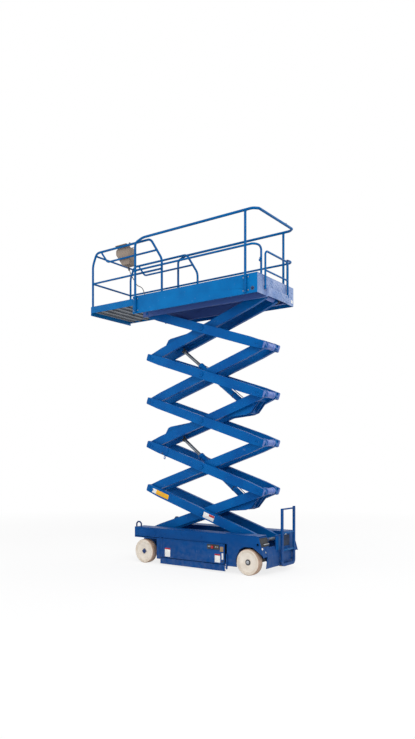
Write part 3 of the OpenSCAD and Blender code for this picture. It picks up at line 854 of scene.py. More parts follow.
@dataclass
class Base:
    """Chassis fittings: doors, ground controls, guards, ladder and axle gear."""

    half: float = 0.557
    top: float = 0.609
    door_out: float = 0.585
    well_floor: float = 0.149

    def build(self) -> None:
        """Models the chassis fittings."""
        for side, way in SIDES:
            self._door(side, way)
            self._guard(side, way)
            self._flanks(side, way)
        self._batteries()
        self._ground_controls()
        self._rear()
        self._well()
        self._steering()

    def _door(self, side: str, way: int) -> None:
        """Folded edges, lock, fixings and inner ribs on a module door.

        Args:
            side: Left or right.
            way: 1 on the left, -1 on the right.
        """
        y, out = way * self.door_out, outward(way)
        body = f"door_{side}"
        folds = [
            Bench.block(at(-0.615, y - way * 0.002, z), at(0.64, y + way * 0.003, z + 0.012), 0.0025)
            for z in (0.434, 0.142)
        ]
        folds += [
            Bench.block(at(x, y - way * 0.002, 0.142), at(x + 0.012, y + way * 0.003, 0.446), 0.0025)
            for x in (-0.615, 0.628)
        ]
        Bench.fit(folds, f"door_folds_{side}", NAVY, body, "navy_paint")
        lock = Bench.turned(
            [
                (0, 0), (0.013, 0), (0.013, 0.004), (0.0105, 0.006), (0.004, 0.006), (0.004, 0.0045),
                (0, 0.0045)
            ],
            at(-0.585, y, 0.175), out, 24
        )
        Bench.fit(lock, f"door_lock_{side}", DARK, body, "dark_metal")
        screws = [Bench.bolt(at(x, y, z), out, 0.007) for x in (0.63, 0.2, -0.2) for z in (0.17, 0.42)]
        Bench.fit(screws, f"door_screws_{side}", NAVY, body, "navy_paint")
        ribs = [
            Bench.block(at(x - 0.018, way * 0.5665, 0.185), at(x + 0.018, way * 0.5775, 0.42), 0.004)
            for x in (-0.42, -0.08, 0.26)
        ]
        Bench.fit(ribs, f"door_ribs_{side}", NAVY, body, "navy_paint")

    def _batteries(self) -> None:
        """Four batteries in each tray: ribbed cases with lids, vent caps, posts and links."""
        cases, caps, posts, links = [], [], [], []
        for way in (1, -1):
            y, face, row = way * 0.4275, way * 0.522, way * 0.4875
            middles = [-0.379 + i * 0.26825 for i in range(4)]
            for x in middles:
                for grow, z0, z1 in (
                    (0.0, self.well_floor, 0.38), (0.003, 0.352, 0.372), (-0.012, 0.375, 0.397)
                ):
                    half_x, half_y = 0.128 + grow, 0.0945 + grow
                    cases.append(
                        Bench.block(at(x - half_x, y - half_y, z0), at(x + half_x, y + half_y, z1), 0.006)
                    )
                cases += [
                    Bench.block(
                        at(x + d - 0.01, face - way * 0.002, 0.17),
                        at(x + d + 0.01, face + way * 0.003, 0.335), 0.002
                    )
                    for d in (-0.07, 0.0, 0.07)
                ]
                caps += [
                    Bench.turned(
                        [(0, 0), (0.015, 0), (0.015, 0.009), (0.012, 0.012), (0, 0.012)], at(x + d, y, 0.396),
                        Axis.Z, 20
                    )
                    for d in (-0.06, 0.0, 0.06)
                ]
                posts += [
                    Bench.turned(
                        [(0, 0), (0.013, 0), (0.013, 0.003), (0.009, 0.004), (0.008, 0.02), (0, 0.02)],
                        at(x + d, row, 0.396), Axis.Z, 20
                    )
                    for d in (-0.1, 0.1)
                ]
            for a, b in zip(middles, middles[1:]):
                links.append(
                    Bench.tube(
                        [
                            at(a + 0.1, row, 0.411), at((a + b) / 2, row + way * 0.012, 0.413),
                            at(b - 0.1, row, 0.411)
                        ],
                        0.006, 0.02
                    )
                )
        Bench.fit(cases, "battery_cases", BLACK, "base", "battery", "battery_blocks")
        Bench.fit(caps, "battery_vent_caps", YELLOW, "base", "battery")
        Bench.fit(posts, "battery_posts", STEEL, "base", "steel")
        Bench.fit(links, "battery_links", RED, "base", "black_plastic")

    def _guard(self, side: str, way: int) -> None:
        """Hinge knuckles, release lever and catch of a ground guard.

        Args:
            side: Left or right.
            way: 1 on the left, -1 on the right.
        """
        y = way * 0.578
        body = f"guard_{side}"
        corners = ((-0.60, 0.098), (-0.545, 0.098), (-0.535, 0.078), (-0.545, 0.06), (-0.585, 0.06))
        lever = Bench.plate([at(x, y, z) for x, z in corners], Vector((0, way * 0.006, 0)))
        Bench.fit(lever, f"guard_lever_{side}", NAVY, body, "navy_paint")
        corners = ((-0.664, 0.102), (-0.634, 0.102), (-0.634, 0.075), (-0.648, 0.055), (-0.664, 0.06))
        latch = Bench.plate([at(x, way * 0.552, z) for x, z in corners], Vector((0, way * 0.022, 0)), 0.003)
        Bench.fit(latch, f"guard_catch_{side}", NAVY, "base", "navy_paint")
        knuckles = [
            Bench.turned(
                [
                    (0.0092, -0.03), (0.0125, -0.03), (0.0135, -0.027), (0.0135, 0.027), (0.0125, 0.03),
                    (0.0092, 0.03), (0.0092, -0.03)
                ],
                at(x, way * 0.568, 0.116), Axis.X, 24
            )
            for x in (-0.58, -0.2, 0.2, 0.62)
        ]
        Bench.fit(knuckles, f"guard_hinges_{side}", NAVY, body, "navy_paint")

    def _flanks(self, side: str, way: int) -> None:
        """Top edge roll, side band fixings, sill and the front housing's cover plate.

        Args:
            side: Left or right.
            way: 1 on the left, -1 on the right.
        """
        y, out = way * self.half, outward(way)
        edge = Bench.tube(
            [at(-1.205, y - way * 0.004, self.top - 0.004), at(1.275, y - way * 0.004, self.top - 0.004)],
            0.006
        )
        seam = Bench.block(at(-0.655, y - way * 0.004, 0.452), at(0.69, y + way * 0.005, 0.462), 0.002)
        cover = Bench.card((0.80, 1.22), (0.475, 0.575), y, way * 0.004)
        sill = Bench.block(at(-0.62, way * 0.546, 0.118), at(0.684, way * 0.551, 0.168), 0.001)
        Bench.fit([edge, seam, cover, sill], f"flank_trim_{side}", NAVY, "base", "navy_paint")
        fixings = [
            Bench.bolt(at(x, y + way * 0.004, z), out, 0.007)
            for x in (0.82, 1.2)
            for z in (0.49, 0.56)
        ]
        fixings += [Bench.bolt(at(x, y, 0.53), out, 0.008) for x in (-0.55, -0.15, 0.25, 0.6)]
        Bench.fit(fixings, f"flank_bolts_{side}", NAVY, "base", "navy_paint")

    def _ground_controls(self) -> None:
        """Ground control panel on the left door: housing, stop knob, toggles; blank plates."""
        y, (x0, x1), (z0, z1) = self.door_out, (-0.525, -0.30), (0.36, 0.43)
        case = Bench.block(at(x0, y - 0.002, z0), at(x1, y + 0.010, z1), 0.004)
        ring = ((x0, z0), (x0, z1), (x1, z1), (x1, z0), (x0, z0))
        rim = Bench.tube([at(x, y + 0.009, z) for x, z in ring], 0.004, 0.01)
        Bench.fit([case, rim], "ground_panel_case", DARK, "door_left", "black_plastic", "ground_panel")
        places = (-0.50, -0.465, -0.35, -0.325)
        sockets = [
            Bench.turned(
                [(0, 0), (0.011, 0), (0.011, 0.003), (0.008, 0.005), (0, 0.005)], at(x, y + 0.010, 0.395),
                Axis.Y, 20
            )
            for x in places
        ]
        toggles = [
            Bench.turned(
                [(0.004, 0.004), (0.0035, 0.012), (0.005, 0.019), (0.003, 0.0215), (0, 0.022)],
                at(x, y + 0.010, 0.395), Vector((0, 0.9, tip)), 14
            )
            for x, tip in zip(places, (0.35, -0.3, 0.3, -0.35))
        ]
        Bench.fit(sockets + toggles, "ground_panel_switches", STEEL, "door_left", "steel")
        knob = Bench.turned(
            [
                (0.009, 0.0), (0.009, 0.008), (0.022, 0.01), (0.025, 0.016), (0.021, 0.023), (0.011, 0.026),
                (0, 0.0265)
            ],
            at(-0.405, y + 0.010, 0.39), Axis.Y, 28
        )
        Bench.fit(knob, "ground_panel_stop_knob", RED, "door_left", "black_plastic")
        for name, finish, spots in (
            (
                "white", WHITE,
                ((-0.545, -0.44, 0.15, 0.262), (0.466, 0.58, 0.15, 0.275), (-0.61, -0.572, 0.205, 0.305))
            ),
            ("red", RED, ((-0.545, -0.44, 0.262, 0.285), (0.466, 0.58, 0.275, 0.298))),
            ("tan", TAN, ((-0.612, -0.54, 0.325, 0.405),))
        ):
            cards = [Bench.card((a, b), (c, d), y, 0.002, 0.0008) for a, b, c, d in spots]
            Bench.fit(cards, f"door_plates_{name}", finish, "door_left", "white_nylon")

    @staticmethod
    def _on_slope(y: float, z: float, out: float = 0.0) -> Vector:
        """Point on the sloped rear face at a height, moved out from it."""
        return at(-1.223 - (0.589 - z) * 0.3 - 0.958 * out, y, z + 0.287 * out)

    def _rear(self) -> None:
        """Dark plate as painted shade of a recess, with its bar; dark slats as painted shade of the vent
        behind the ladder; small lamps, ladder fittings and rings.
        """
        normal = Vector((-0.958, 0, 0.287))
        corners = ((0.318, 0.57), (0.538, 0.57), (0.538, 0.452), (0.318, 0.452))
        # A dark plate with a dark rim stands for the shade inside the recess: painted shade.
        panel = Bench.plate([self._on_slope(y, z) for y, z in corners], normal * 0.003, 0.001)
        ring = ((0.316, 0.45), (0.316, 0.572), (0.54, 0.572), (0.54, 0.45), (0.316, 0.45))
        lip = Bench.tube([self._on_slope(y, z, 0.002) for y, z in ring], 0.005, 0.02)
        # Dark slats stand for the shade inside the vent behind the ladder: painted shade.
        slots = [
            Bench.block(at(-1.3005, -0.296 + i * 0.036, 0.40), at(-1.2975, -0.272 + i * 0.036, 0.572), 0.001)
            for i in range(7)
        ]
        Bench.fit([panel, lip] + slots, "rear_painted_shade_panels", DARK, "base", "dark_metal")
        ring = ((-0.302, 0.392), (-0.302, 0.58), (-0.038, 0.58), (-0.038, 0.392), (-0.302, 0.392))
        frame = Bench.tube([at(-1.2975, y, z) for y, z in ring], 0.004, 0.012)
        roll = Bench.tube([at(-1.222, 0.546, 0.602), at(-1.222, 0.318, 0.602)], 0.008)
        edge = Bench.tube([at(-1.2925, 0.140, 0.5855), at(-1.2925, -0.30, 0.5855)], 0.006)
        shelf = Bench.block(at(-1.285, 0.144, 0.395), at(-1.2, 0.304, 0.4), 0.001)
        Bench.fit([frame, roll, edge, shelf], "rear_cover_trim", NAVY, "base", "navy_paint")
        bends = ((0.335, 0.0), (0.335, 0.028), (0.475, 0.028), (0.475, 0.0))
        bar = Bench.tube([self._on_slope(y, 0.475, out) for y, out in bends], 0.008, 0.018)
        stud = Bench.turned(
            [(0, 0), (0.014, 0), (0.014, 0.004), (0.01, 0.007), (0, 0.0075)], self._on_slope(0.45, 0.36),
            normal, 24
        )
        Bench.fit([bar, stud], "rear_recess_bar", STEEL, "base", "steel")
        corners = ((0.138, 0.572), (0.0, 0.572), (0.0, 0.36), (0.138, 0.36))
        face = Bench.plate([at(-1.297, y, z) for y, z in corners], Vector((-0.0025, 0, 0)), 0.001)
        Bench.fit(face, "rear_cover_face", BLUE, "base", "navy_paint")
        lens = Bench.turned(
            [(0, 0), (0.018, 0), (0.018, 0.005), (0.013, 0.011), (0.006, 0.013), (0, 0.0132)],
            self._on_slope(0.525, 0.418), normal, 24
        )
        lamp = Bench.block(at(-1.304, -0.19, 0.5795), at(-1.29, -0.14, 0.5925), 0.003)
        Bench.fit([lens, lamp], "rear_lenses", WHITE, "base", "white_nylon")
        treads = [
            Bench.turned(
                [(0.0128, -0.16), (0.0142, -0.158), (0.0142, 0.158), (0.0128, 0.16)], at(-1.345, -0.1675, z),
                Axis.Y, 24
            )
            for z in (0.345, 0.616)
        ]
        Bench.fit(treads, "ladder_treads", RAIL_SHADED, "base", "navy_paint")
        bolts = [
            Bench.bolt(at(-1.325, y + 0.012 * s, z), outward(s), 0.006)
            for y in (0.03, -0.365)
            for z in (0.18, 0.31)
            for s in (1, -1)
        ]
        Bench.fit(bolts, "ladder_bolts", NAVY, "base", "navy_paint")
        rings = [
            Bench.turned(
                [
                    (0.0205, -0.001), (0.0275, -0.001), (0.0285, 0.002), (0.0275, 0.004), (0.0205, 0.004),
                    (0.0205, -0.001)
                ],
                at(-1.215, w * self.half, 0.48), outward(w), 32
            )
            for w in (1, -1)
        ]
        Bench.fit(rings, "lashing_hole_rings", NAVY, "base", "navy_paint")

    def _well(self) -> None:
        """Tank, valve block, pump motor and pipes on the well floor."""
        tank = Bench.block(at(-0.70, -0.14, self.well_floor), at(-0.42, 0.14, 0.30), 0.012, 3)
        Bench.fit(tank, "oil_tank", BLACK, "base", "battery")
        motor = Bench.turned(
            [
                (0, 0), (0.06, 0), (0.066, 0.006), (0.066, 0.05), (0.07, 0.055), (0.07, 0.19), (0.062, 0.205),
                (0.03, 0.212), (0, 0.212)
            ],
            at(-0.40, 0.06, 0.225), Axis.X, 32
        )
        block = Bench.block(at(-0.40, -0.13, self.well_floor), at(-0.27, -0.03, 0.25), 0.006)
        Bench.fit([motor, block], "pump_and_valves", DARK, "base", "dark_metal")
        coils = [
            Bench.turned(
                [(0, 0), (0.02, 0), (0.02, 0.04), (0.016, 0.045), (0.008, 0.045), (0.008, 0.06), (0, 0.061)],
                at(x, y, 0.25), Axis.Z, 20
            )
            for x in (-0.37, -0.30)
            for y in (-0.105, -0.055)
        ]
        Bench.fit(coils, "valve_coils", STEEL, "base", "steel")
        pipes = [
            Bench.tube(
                [
                    at(-0.27, -0.05 - 0.03 * i, 0.19), at(-0.1, -0.05 - 0.03 * i, 0.19),
                    at(0.1, -0.2 - 0.02 * i, 0.165), at(0.7, -0.2 - 0.02 * i, 0.165)
                ],
                0.007, 0.05
            )
            for i in range(3)
        ]
        Bench.fit(pipes, "well_pipes", STEEL, "base", "steel")

    def _steering(self) -> None:
        """Steering cylinder behind the front axle, with its clamp."""
        barrel = Bench.turned(
            [
                (0, 0), (0.02, 0), (0.026, 0.004), (0.026, 0.19), (0.03, 0.194), (0.03, 0.216), (0.024, 0.22),
                (0.011, 0.22), (0.011, 0.225)
            ],
            at(0.975, -0.2, 0.215), Axis.Y, 28
        )
        clamp = Bench.block(at(0.955, -0.19, 0.185), at(1.005, -0.15, 0.24), 0.004)
        Bench.fit([barrel, clamp], "steering_cylinder", DARK, "base", "dark_metal")


@dataclass
class Scissor:
    """Pin fittings, collars, weld plates and cylinder gear on the arm stack."""

    levels: int = LEVELS

    def build(self) -> None:
        """Models the fittings of every stage."""
        for k in range(1, self.levels + 1):
            self._outer_pins(k)
            self._inner_gear(k)
        for k, name in ((1, "lower"), (3, "upper")):
            self._cylinder(k, name)
        self._plates()

    def _outer_pins(self, k: int) -> None:
        """Pin caps, keeper plates, bolts and end faces of an outer arm pair; the end faces carry a painted
        highlight in lighter blue.

        Args:
            k: Stage, counted from the lowest.
        """
        caps, bolts = [], []
        for way, out in ((1, Axis.Y), (-1, Axis.RIGHT)):
            for s in (0.0, ARM):
                if (k == 1 and s == 0) or (k == self.levels and s > 0):
                    continue
                y = way * OUTER_OUT
                boss = on_outer(k, s, y, 0)
                caps.append(
                    Bench.turned(
                        [
                            (0.0252, -0.002), (0.041, -0.002), (0.043, 0.001), (0.043, 0.006), (0.04, 0.009),
                            (0.0252, 0.009), (0.0252, -0.002)
                        ],
                        boss, out, 36
                    )
                )
                caps.append(
                    Bench.turned(
                        [
                            (0, 0.0038), (0.02, 0.0038), (0.023, 0.0055), (0.023, 0.0075), (0.019, 0.009),
                            (0.006, 0.009), (0.0055, 0.0115), (0.003, 0.0135), (0, 0.014)
                        ],
                        boss, out, 28
                    )
                )
                inward = 1 if s == 0 else -1
                keeper = patch_on_outer(k, (s + inward * 0.05, s + inward * 0.105), (-0.014, 0.014), y)
                caps.append(Bench.plate(keeper, Vector((0, way * 0.005, 0)), 0.0015))
                bolts.append(Bench.bolt(on_outer(k, s + inward * 0.09, y + way * 0.005, 0), out, 0.0075))
        Bench.fit(caps, f"pin_caps_outer_{k}", BLUE, f"outer_{k}", "blue_paint")
        back = on_outer(k, -0.05, 0, 0) - on_outer(k, -0.046, 0, 0)
        corners = ((0.209, 0.046), (0.263, 0.046), (0.263, -0.046), (0.209, -0.046))
        faces = [
            Bench.plate([on_outer(k, -0.046, w * y, n) for y, n in corners], back, 0.001)
            for w in (1, -1)
        ]
        # End faces in lighter blue: painted highlight.
        Bench.fit(faces, f"end_faces_outer_{k}", GLARE_BLUE, f"outer_{k}", "blue_paint")
        Bench.fit(bolts, f"pin_bolts_outer_{k}", BLUE, f"outer_{k}", "blue_paint")

    def _inner_gear(self, k: int) -> None:
        """Collars and sleeve on the cross tubes and the retaining bolts of the centre pin; the rear sleeve
        carries a painted highlight in lighter blue.

        Args:
            k: Stage, counted from the lowest.
        """
        collars, bolts = [], []
        for way, out in ((1, Axis.Y), (-1, Axis.RIGHT)):
            for s in (0.0, ARM):
                place = on_inner(k, s, way * (INNER_IN - 0.002), 0)
                collars.append(
                    Bench.turned(
                        [
                            (0.0415, 0.0), (0.048, 0.0), (0.05, -0.003), (0.05, -0.01), (0.047, -0.014),
                            (0.0415, -0.016), (0.0415, 0.0)
                        ],
                        place, out, 40
                    )
                )
            cap = on_inner(k, ARM / 2, way * 0.272, 0)
            collars.append(
                Bench.turned(
                    [
                        (0, -0.001), (0.036, -0.001), (0.0395, 0.001), (0.0395, 0.006), (0.036, 0.009),
                        (0.012, 0.009), (0, 0.009)
                    ],
                    cap, out, 36
                )
            )
            bolts.append(Bench.bolt(cap + Vector((0, way * 0.009, 0)), out, 0.0105))
        Bench.fit(collars, f"collars_inner_{k}", BLUE, f"inner_{k}", "blue_paint")
        half = [(0.0415, 0.118), (0.054, 0.118), (0.057, 0.114), (0.057, 0.072), (0.05, 0.064)]
        if k == self.levels:
            half = [(min(r, 0.046), h) for r, h in half]
        sleeve = Bench.turned([(r, -h) for r, h in half] + half[::-1], on_inner(k, ARM, 0, 0), Axis.Y, 40)
        # Rear sleeve in lighter blue: painted highlight.
        Bench.fit(sleeve, f"rear_sleeve_{k}", GLARE_BLUE, f"inner_{k}", "blue_paint")
        Bench.fit(bolts, f"centre_bolts_{k}", BLUE, f"inner_{k}", "blue_paint")

    def _cylinder(self, k: int, name: str) -> None:
        """Gland nut, port and feed pipe on a lift cylinder, and the eye on its rod.

        Args:
            k: Stage that carries its foot.
            name: Lower or upper.
        """
        foot, eye = on_inner(k, ARM - 0.375, 0, -0.136), on_inner(k + 2, 0.56, 0, -0.06)
        way = (eye - foot).normalized()
        up = Vector((0, 1, 0)).cross(way).normalized()
        if up.z < 0:
            up = -up
        body = f"{name}_barrel"
        gland = Bench.turned(
            [
                (0.0288, 1.268), (0.0545, 1.268), (0.057, 1.272), (0.057, 1.322), (0.054, 1.328),
                (0.046, 1.334), (0.033, 1.336), (0.0288, 1.342), (0.0288, 1.268)
            ],
            foot, way, 12
        )
        band = [
            Bench.turned(
                [(0.0478, h), (0.051, h + 0.002), (0.051, h + 0.022), (0.0478, h + 0.024)], foot, way, 40
            )
            for h in (0.22, 0.74)
        ]
        Bench.fit([gland] + band, f"{name}_gland", BLUE, body, "blue_paint")
        inlet, half = foot + way * 0.11 + up * 0.06, Vector((0.018, 0.018, 0.018))
        port = Bench.block(inlet - half, inlet + half, 0.004)
        run = ((0.11, 0.074), (0.16, 0.072), (1.2, 0.062), (1.25, 0.05))
        feed = Bench.tube([foot + way * a + up * b for a, b in run], 0.0065, 0.03)
        clips = [
            Bench.turned(
                [(0.0488, -0.01), (0.052, -0.008), (0.052, 0.008), (0.0488, 0.01)], foot + way * h, way, 40
            )
            for h in (0.45, 0.98)
        ]
        Bench.fit([port, feed] + clips, f"{name}_feed_pipe", HUB, body, "blue_paint")
        knuckle = Bench.turned(
            [
                (0.0285, -0.085), (0.038, -0.08), (0.04, -0.075), (0.04, -0.045), (0.036, -0.038),
                (0.0285, -0.036), (0.0285, -0.085)
            ],
            eye, way, 32
        )
        caps = [
            Bench.turned(
                [(0.0, 0.0), (0.03, 0.0), (0.034, 0.002), (0.034, 0.005), (0.02, 0.006), (0.0, 0.006)],
                eye + Vector((0, w * 0.032, 0)), outward(w), 28
            )
            for w in (1, -1)
        ]
        Bench.fit([knuckle] + caps, f"{name}_rod_eye", DARK, f"{name}_rod", "dark_metal")

    def _plates(self) -> None:
        """Blank plates on the lowest arm and the hose clip on the one above it."""
        y = OUTER_OUT
        for name, finish, s0, s1, n0, n1 in (
            ("yellow", YELLOW, 1.955, 2.245, -0.045, 0.036), ("end", WHITE, 2.245, 2.335, -0.043, 0.034),
            ("white", WHITE, 0.94, 1.165, -0.052, 0.042), ("red", RED, 0.942, 1.05, 0.004, 0.0405),
        ):
            deep = 0.0022 if name == "red" else 0.0015
            card = Bench.plate(patch_on_outer(1, (s0, s1), (n0, n1)), Vector((0, deep, 0)), 0.0005)
            Bench.fit(card, f"arm_plate_{name}", finish, "outer_1", "white_nylon")
        strap = Bench.plate(patch_on_outer(2, (1.965, 2.03), (-0.072, 0.074)), Vector((0, 0.006, 0)), 0.002)
        bends = ((1.985, -0.06), (1.985, -0.125), (2.012, -0.125), (2.012, -0.06))
        clip = Bench.tube([on_outer(2, a, y + 0.012, n) for a, n in bends], 0.006, 0.012)
        Bench.fit([strap, clip], "hose_clip", BLUE, "outer_2", "blue_paint")
        stub = Bench.turned(
            [(0, 0), (0.012, 0), (0.012, 0.01), (0.008, 0.016), (0, 0.017)], on_outer(2, 2.075, y, -0.05),
            Axis.Y, 20
        )
        Bench.fit(stub, "hose_clip_pad", BLACK, "outer_2", "black_plastic")


@dataclass
class Platform:
    """Side plate trim, guard rails, end plate treads and the gate."""

    rear: float = -1.221
    front: float = 1.309
    half: float = 0.582
    rail_y: float = 0.6032
    strap: tuple[tuple[float, float], ...] = (
        (-0.055, 0.003), (-0.026, 0.003), (-0.022, 0.044), (0.022, 0.044), (0.026, 0.003), (0.055, 0.003),
    )

    def build(self) -> None:
        """Models the platform fittings."""
        low, high = TOP_Z - 0.043, TOP_Z + 0.259
        for side, way in SIDES:
            y = way * self.half
            lips = [
                Bench.tube(
                    [at(self.rear + 0.004, y - way * 0.003, z), at(self.front - 0.004, y - way * 0.003, z)],
                    0.0065
                )
                for z in (low + 0.004, high - 0.004)
            ]
            Bench.fit(lips, f"side_plate_rolls_{side}", BOARD, "platform", "navy_paint")
            straps, bolts = [], []
            out = outward(way)
            for x in (self.front - 0.077, self.rear + 0.201):
                for z in (low + 0.05, high - 0.05):
                    bends = [at(x + dx, y + way * dy, z) for dx, dy in self.strap]
                    straps.append(Bench.tube(bends, 0.004, 0.016))
                    bolts += [
                        Bench.bolt(at(x + dx, y + way * 0.004, z), out, 0.007)
                        for dx in (-0.045, 0.045)
                    ]
            Bench.fit(straps, f"rail_straps_{side}", RAIL_SHADED, "platform", "blue_paint")
            Bench.fit(bolts, f"rail_strap_bolts_{side}", STEEL, "platform", "steel")
            ring = Bench.turned(
                [
                    (0.0205, -0.003), (0.0285, -0.001), (0.03, 0.002), (0.028, 0.004), (0.0215, 0.004),
                    (0.0205, -0.003)
                ],
                at(self.rear + 0.084, y, TOP_Z + 0.027), out, 32
            )
            Bench.fit(ring, f"side_plate_grommet_{side}", BLACK, "platform", "black_plastic")
        self._end(low, high)
        self._rails()
        self._gate()

    def _rails(self) -> None:
        """Bent guard rails, with the latch on the entry's left leg and the stub on the rear rail."""
        top, mid, foot = TOP_Z + 1.237, TOP_Z + 0.697, TOP_Z - 0.027
        front, corner, leg, back = self.front - 0.077, self.rear + 0.071, self.rear + 0.027, self.rear - 0.001
        for side, way in SIDES:
            y = way * self.rail_y
            rails = [
                Bench.tube(
                    [
                        at(front, y, foot), at(front, y, top - 0.062), at(front - 0.17, y, top),
                        at(corner, y, top), at(back, y - way * 0.072, top), at(back, y - way * 0.12, top)
                    ],
                    0.021, 0.06, 5
                ),
                Bench.tube([at(self.rear + 0.201, y, foot), at(self.rear + 0.201, y, top)], 0.02, sides=5),
                Bench.tube(
                    [
                        at(front, y, mid), at(corner, y, mid), at(leg, y - way * 0.06, mid),
                        at(leg, way * 0.46, mid), at(leg, way * 0.42, mid - 0.04), at(leg, way * 0.42, DECK_Z)
                    ],
                    0.017, 0.05, 5
                )
            ]
            rails += [
                Bench.weld(at(front, y, mid), Axis.BACK, 0.017, 0.021),
                Bench.weld(at(self.rear + 0.201, y, top), Axis.DOWN, 0.02, 0.021)
            ]
            Bench.fit(rails, f"rail_{side}_bent", RAIL_SHADED, "platform", "blue_paint", f"rail_{side}")
        bar = Bench.tube(
            [at(back, -self.rail_y + 0.12, top), at(back, self.rail_y - 0.12, top)], 0.021, sides=5
        )
        stub = Bench.turned(
            [(0, 0.018), (0.011, 0.018), (0.011, 0.028), (0.008, 0.032), (0, 0.033)], at(back, -0.323, top),
            Axis.Z, 20
        )
        Bench.fit([bar, stub], "rail_rear_bar", RAIL_SHADED, "platform", "blue_paint", "rail_rear")
        latch = Bench.block(
            at(leg - 0.012, 0.43, TOP_Z + 0.455), at(leg + 0.012, 0.476, TOP_Z + 0.492), 0.005
        )
        Bench.fit(
            [
                latch,
                Bench.turned(
                    [(0, 0), (0.009, 0), (0.009, 0.016), (0.012, 0.02), (0.01, 0.03), (0, 0.032)],
                    at(leg, 0.452, TOP_Z + 0.49), Axis.Z, 20
                )
            ],
            "entry_latch", RAIL_SHADED, "platform", "blue_paint"
        )

    def _end(self, low: float, high: float) -> None:
        """Raised tread bars, edge rolls, the box over the notch and a blank plate on the rear end plate.

        Args:
            low: Lower edge of the side plates.
            high: Their upper edge.
        """
        x = self.rear
        bars = []
        for row in range(4):
            bars += self._treads(at(x - 0.0005, -0.535, TOP_Z + 0.088), row, 13, 0.0035)
        bars.append(
            Bench.tube([at(x + 0.004, -0.57, high - 0.003), at(x + 0.004, 0.57, high - 0.003)], 0.007)
        )
        bars.append(
            Bench.tube([at(x + 0.002, 0.306, TOP_Z + 0.08), at(x + 0.002, -0.306, TOP_Z + 0.08)], 0.006)
        )
        bars += [
            Bench.tube([at(x + 0.002, w * 0.306, low + 0.004), at(x + 0.002, w * 0.306, TOP_Z + 0.08)], 0.006)
            for w in (1, -1)
        ]
        roof = TOP_Z + 0.0745
        box = [Bench.block(at(x - 0.049, -0.312, TOP_Z - 0.06), at(x - 0.045, 0.312, roof), 0.0015)]
        box += [
            Bench.block(at(x - 0.047, w * 0.308, TOP_Z - 0.06), at(x + 0.002, w * 0.312, roof), 0.0015)
            for w in (1, -1)
        ]
        box.append(Bench.block(at(x - 0.047, -0.31, roof - 0.004), at(x + 0.002, 0.31, roof), 0.0015))
        for row in range(3):
            box += self._treads(at(x - 0.0492, -0.28, TOP_Z - 0.032), row, 7 - row % 2, 0.003)
        Bench.fit(bars + box, "end_plate_tread", PALE, "platform", "end_paint")
        corners = ((-0.55, TOP_Z + 0.05), (-0.50, TOP_Z + 0.05), (-0.50, TOP_Z), (-0.55, TOP_Z))
        card = Bench.plate([at(x, y, z) for y, z in corners], Vector((-0.002, 0, 0)), 0.0008)
        Bench.fit(card, "end_plate_card", WHITE, "platform", "white_nylon")

    @staticmethod
    def _treads(start: Vector, row: int, count: int, radius: float) -> list[bpy.types.Object]:
        """A row of raised bars that lean to and fro, every other row set over.

        Args:
            start: Where the lowest row begins, at the middle of its bars' height.
            row: Row, counted from the lowest.
            count: Bars in the row.
            radius: Bar radius.

        Returns:
            The new objects.
        """
        bars = []
        for i in range(count):
            foot = start + Vector((0, i * 0.085 + (row % 2) * 0.04, row * 0.04))
            tip = 0.012 if (i + row) % 2 else -0.012
            bars.append(
                Bench.tube([foot + Vector((0, 0, tip)), foot + Vector((0, 0.05, -tip))], radius, sides=2)
            )
        return bars

    def _gate(self) -> None:
        """Bent entry gate with its sleeves and latch knob."""
        x, top = self.rear - 0.024, TOP_Z + 0.63
        hoop = Bench.tube(
            [
                at(x, 0.38, TOP_Z + 0.04), at(x, 0.38, top - 0.04), at(x, 0.34, top), at(x, -0.30, top),
                at(x, -0.34, top - 0.04), at(x, -0.34, TOP_Z + 0.04)
            ],
            0.016, 0.05, 5
        )
        rung = Bench.tube([at(x, 0.38, TOP_Z + 0.33), at(x, -0.34, TOP_Z + 0.33)], 0.014, sides=5)
        sleeves = [
            Bench.turned(
                [(0.0158, -0.03), (0.02, -0.028), (0.02, 0.028), (0.0158, 0.03), (0.0158, -0.03)],
                at(x, y, TOP_Z + 0.07), Axis.Z, 24
            )
            for y in (0.38, -0.34)
        ]
        Bench.fit([hoop, rung] + sleeves, "gate_hoop", RAIL_SHADED, "gate", "blue_paint", "gate")
        knob = Bench.turned(
            [(0, 0), (0.014, 0), (0.014, 0.014), (0.02, 0.018), (0.021, 0.028), (0.016, 0.036), (0, 0.038)],
            at(x, -0.33, top), Axis.Z, 24
        )
        Bench.fit(knob, "gate_knob", HUB, "gate", "blue_paint")


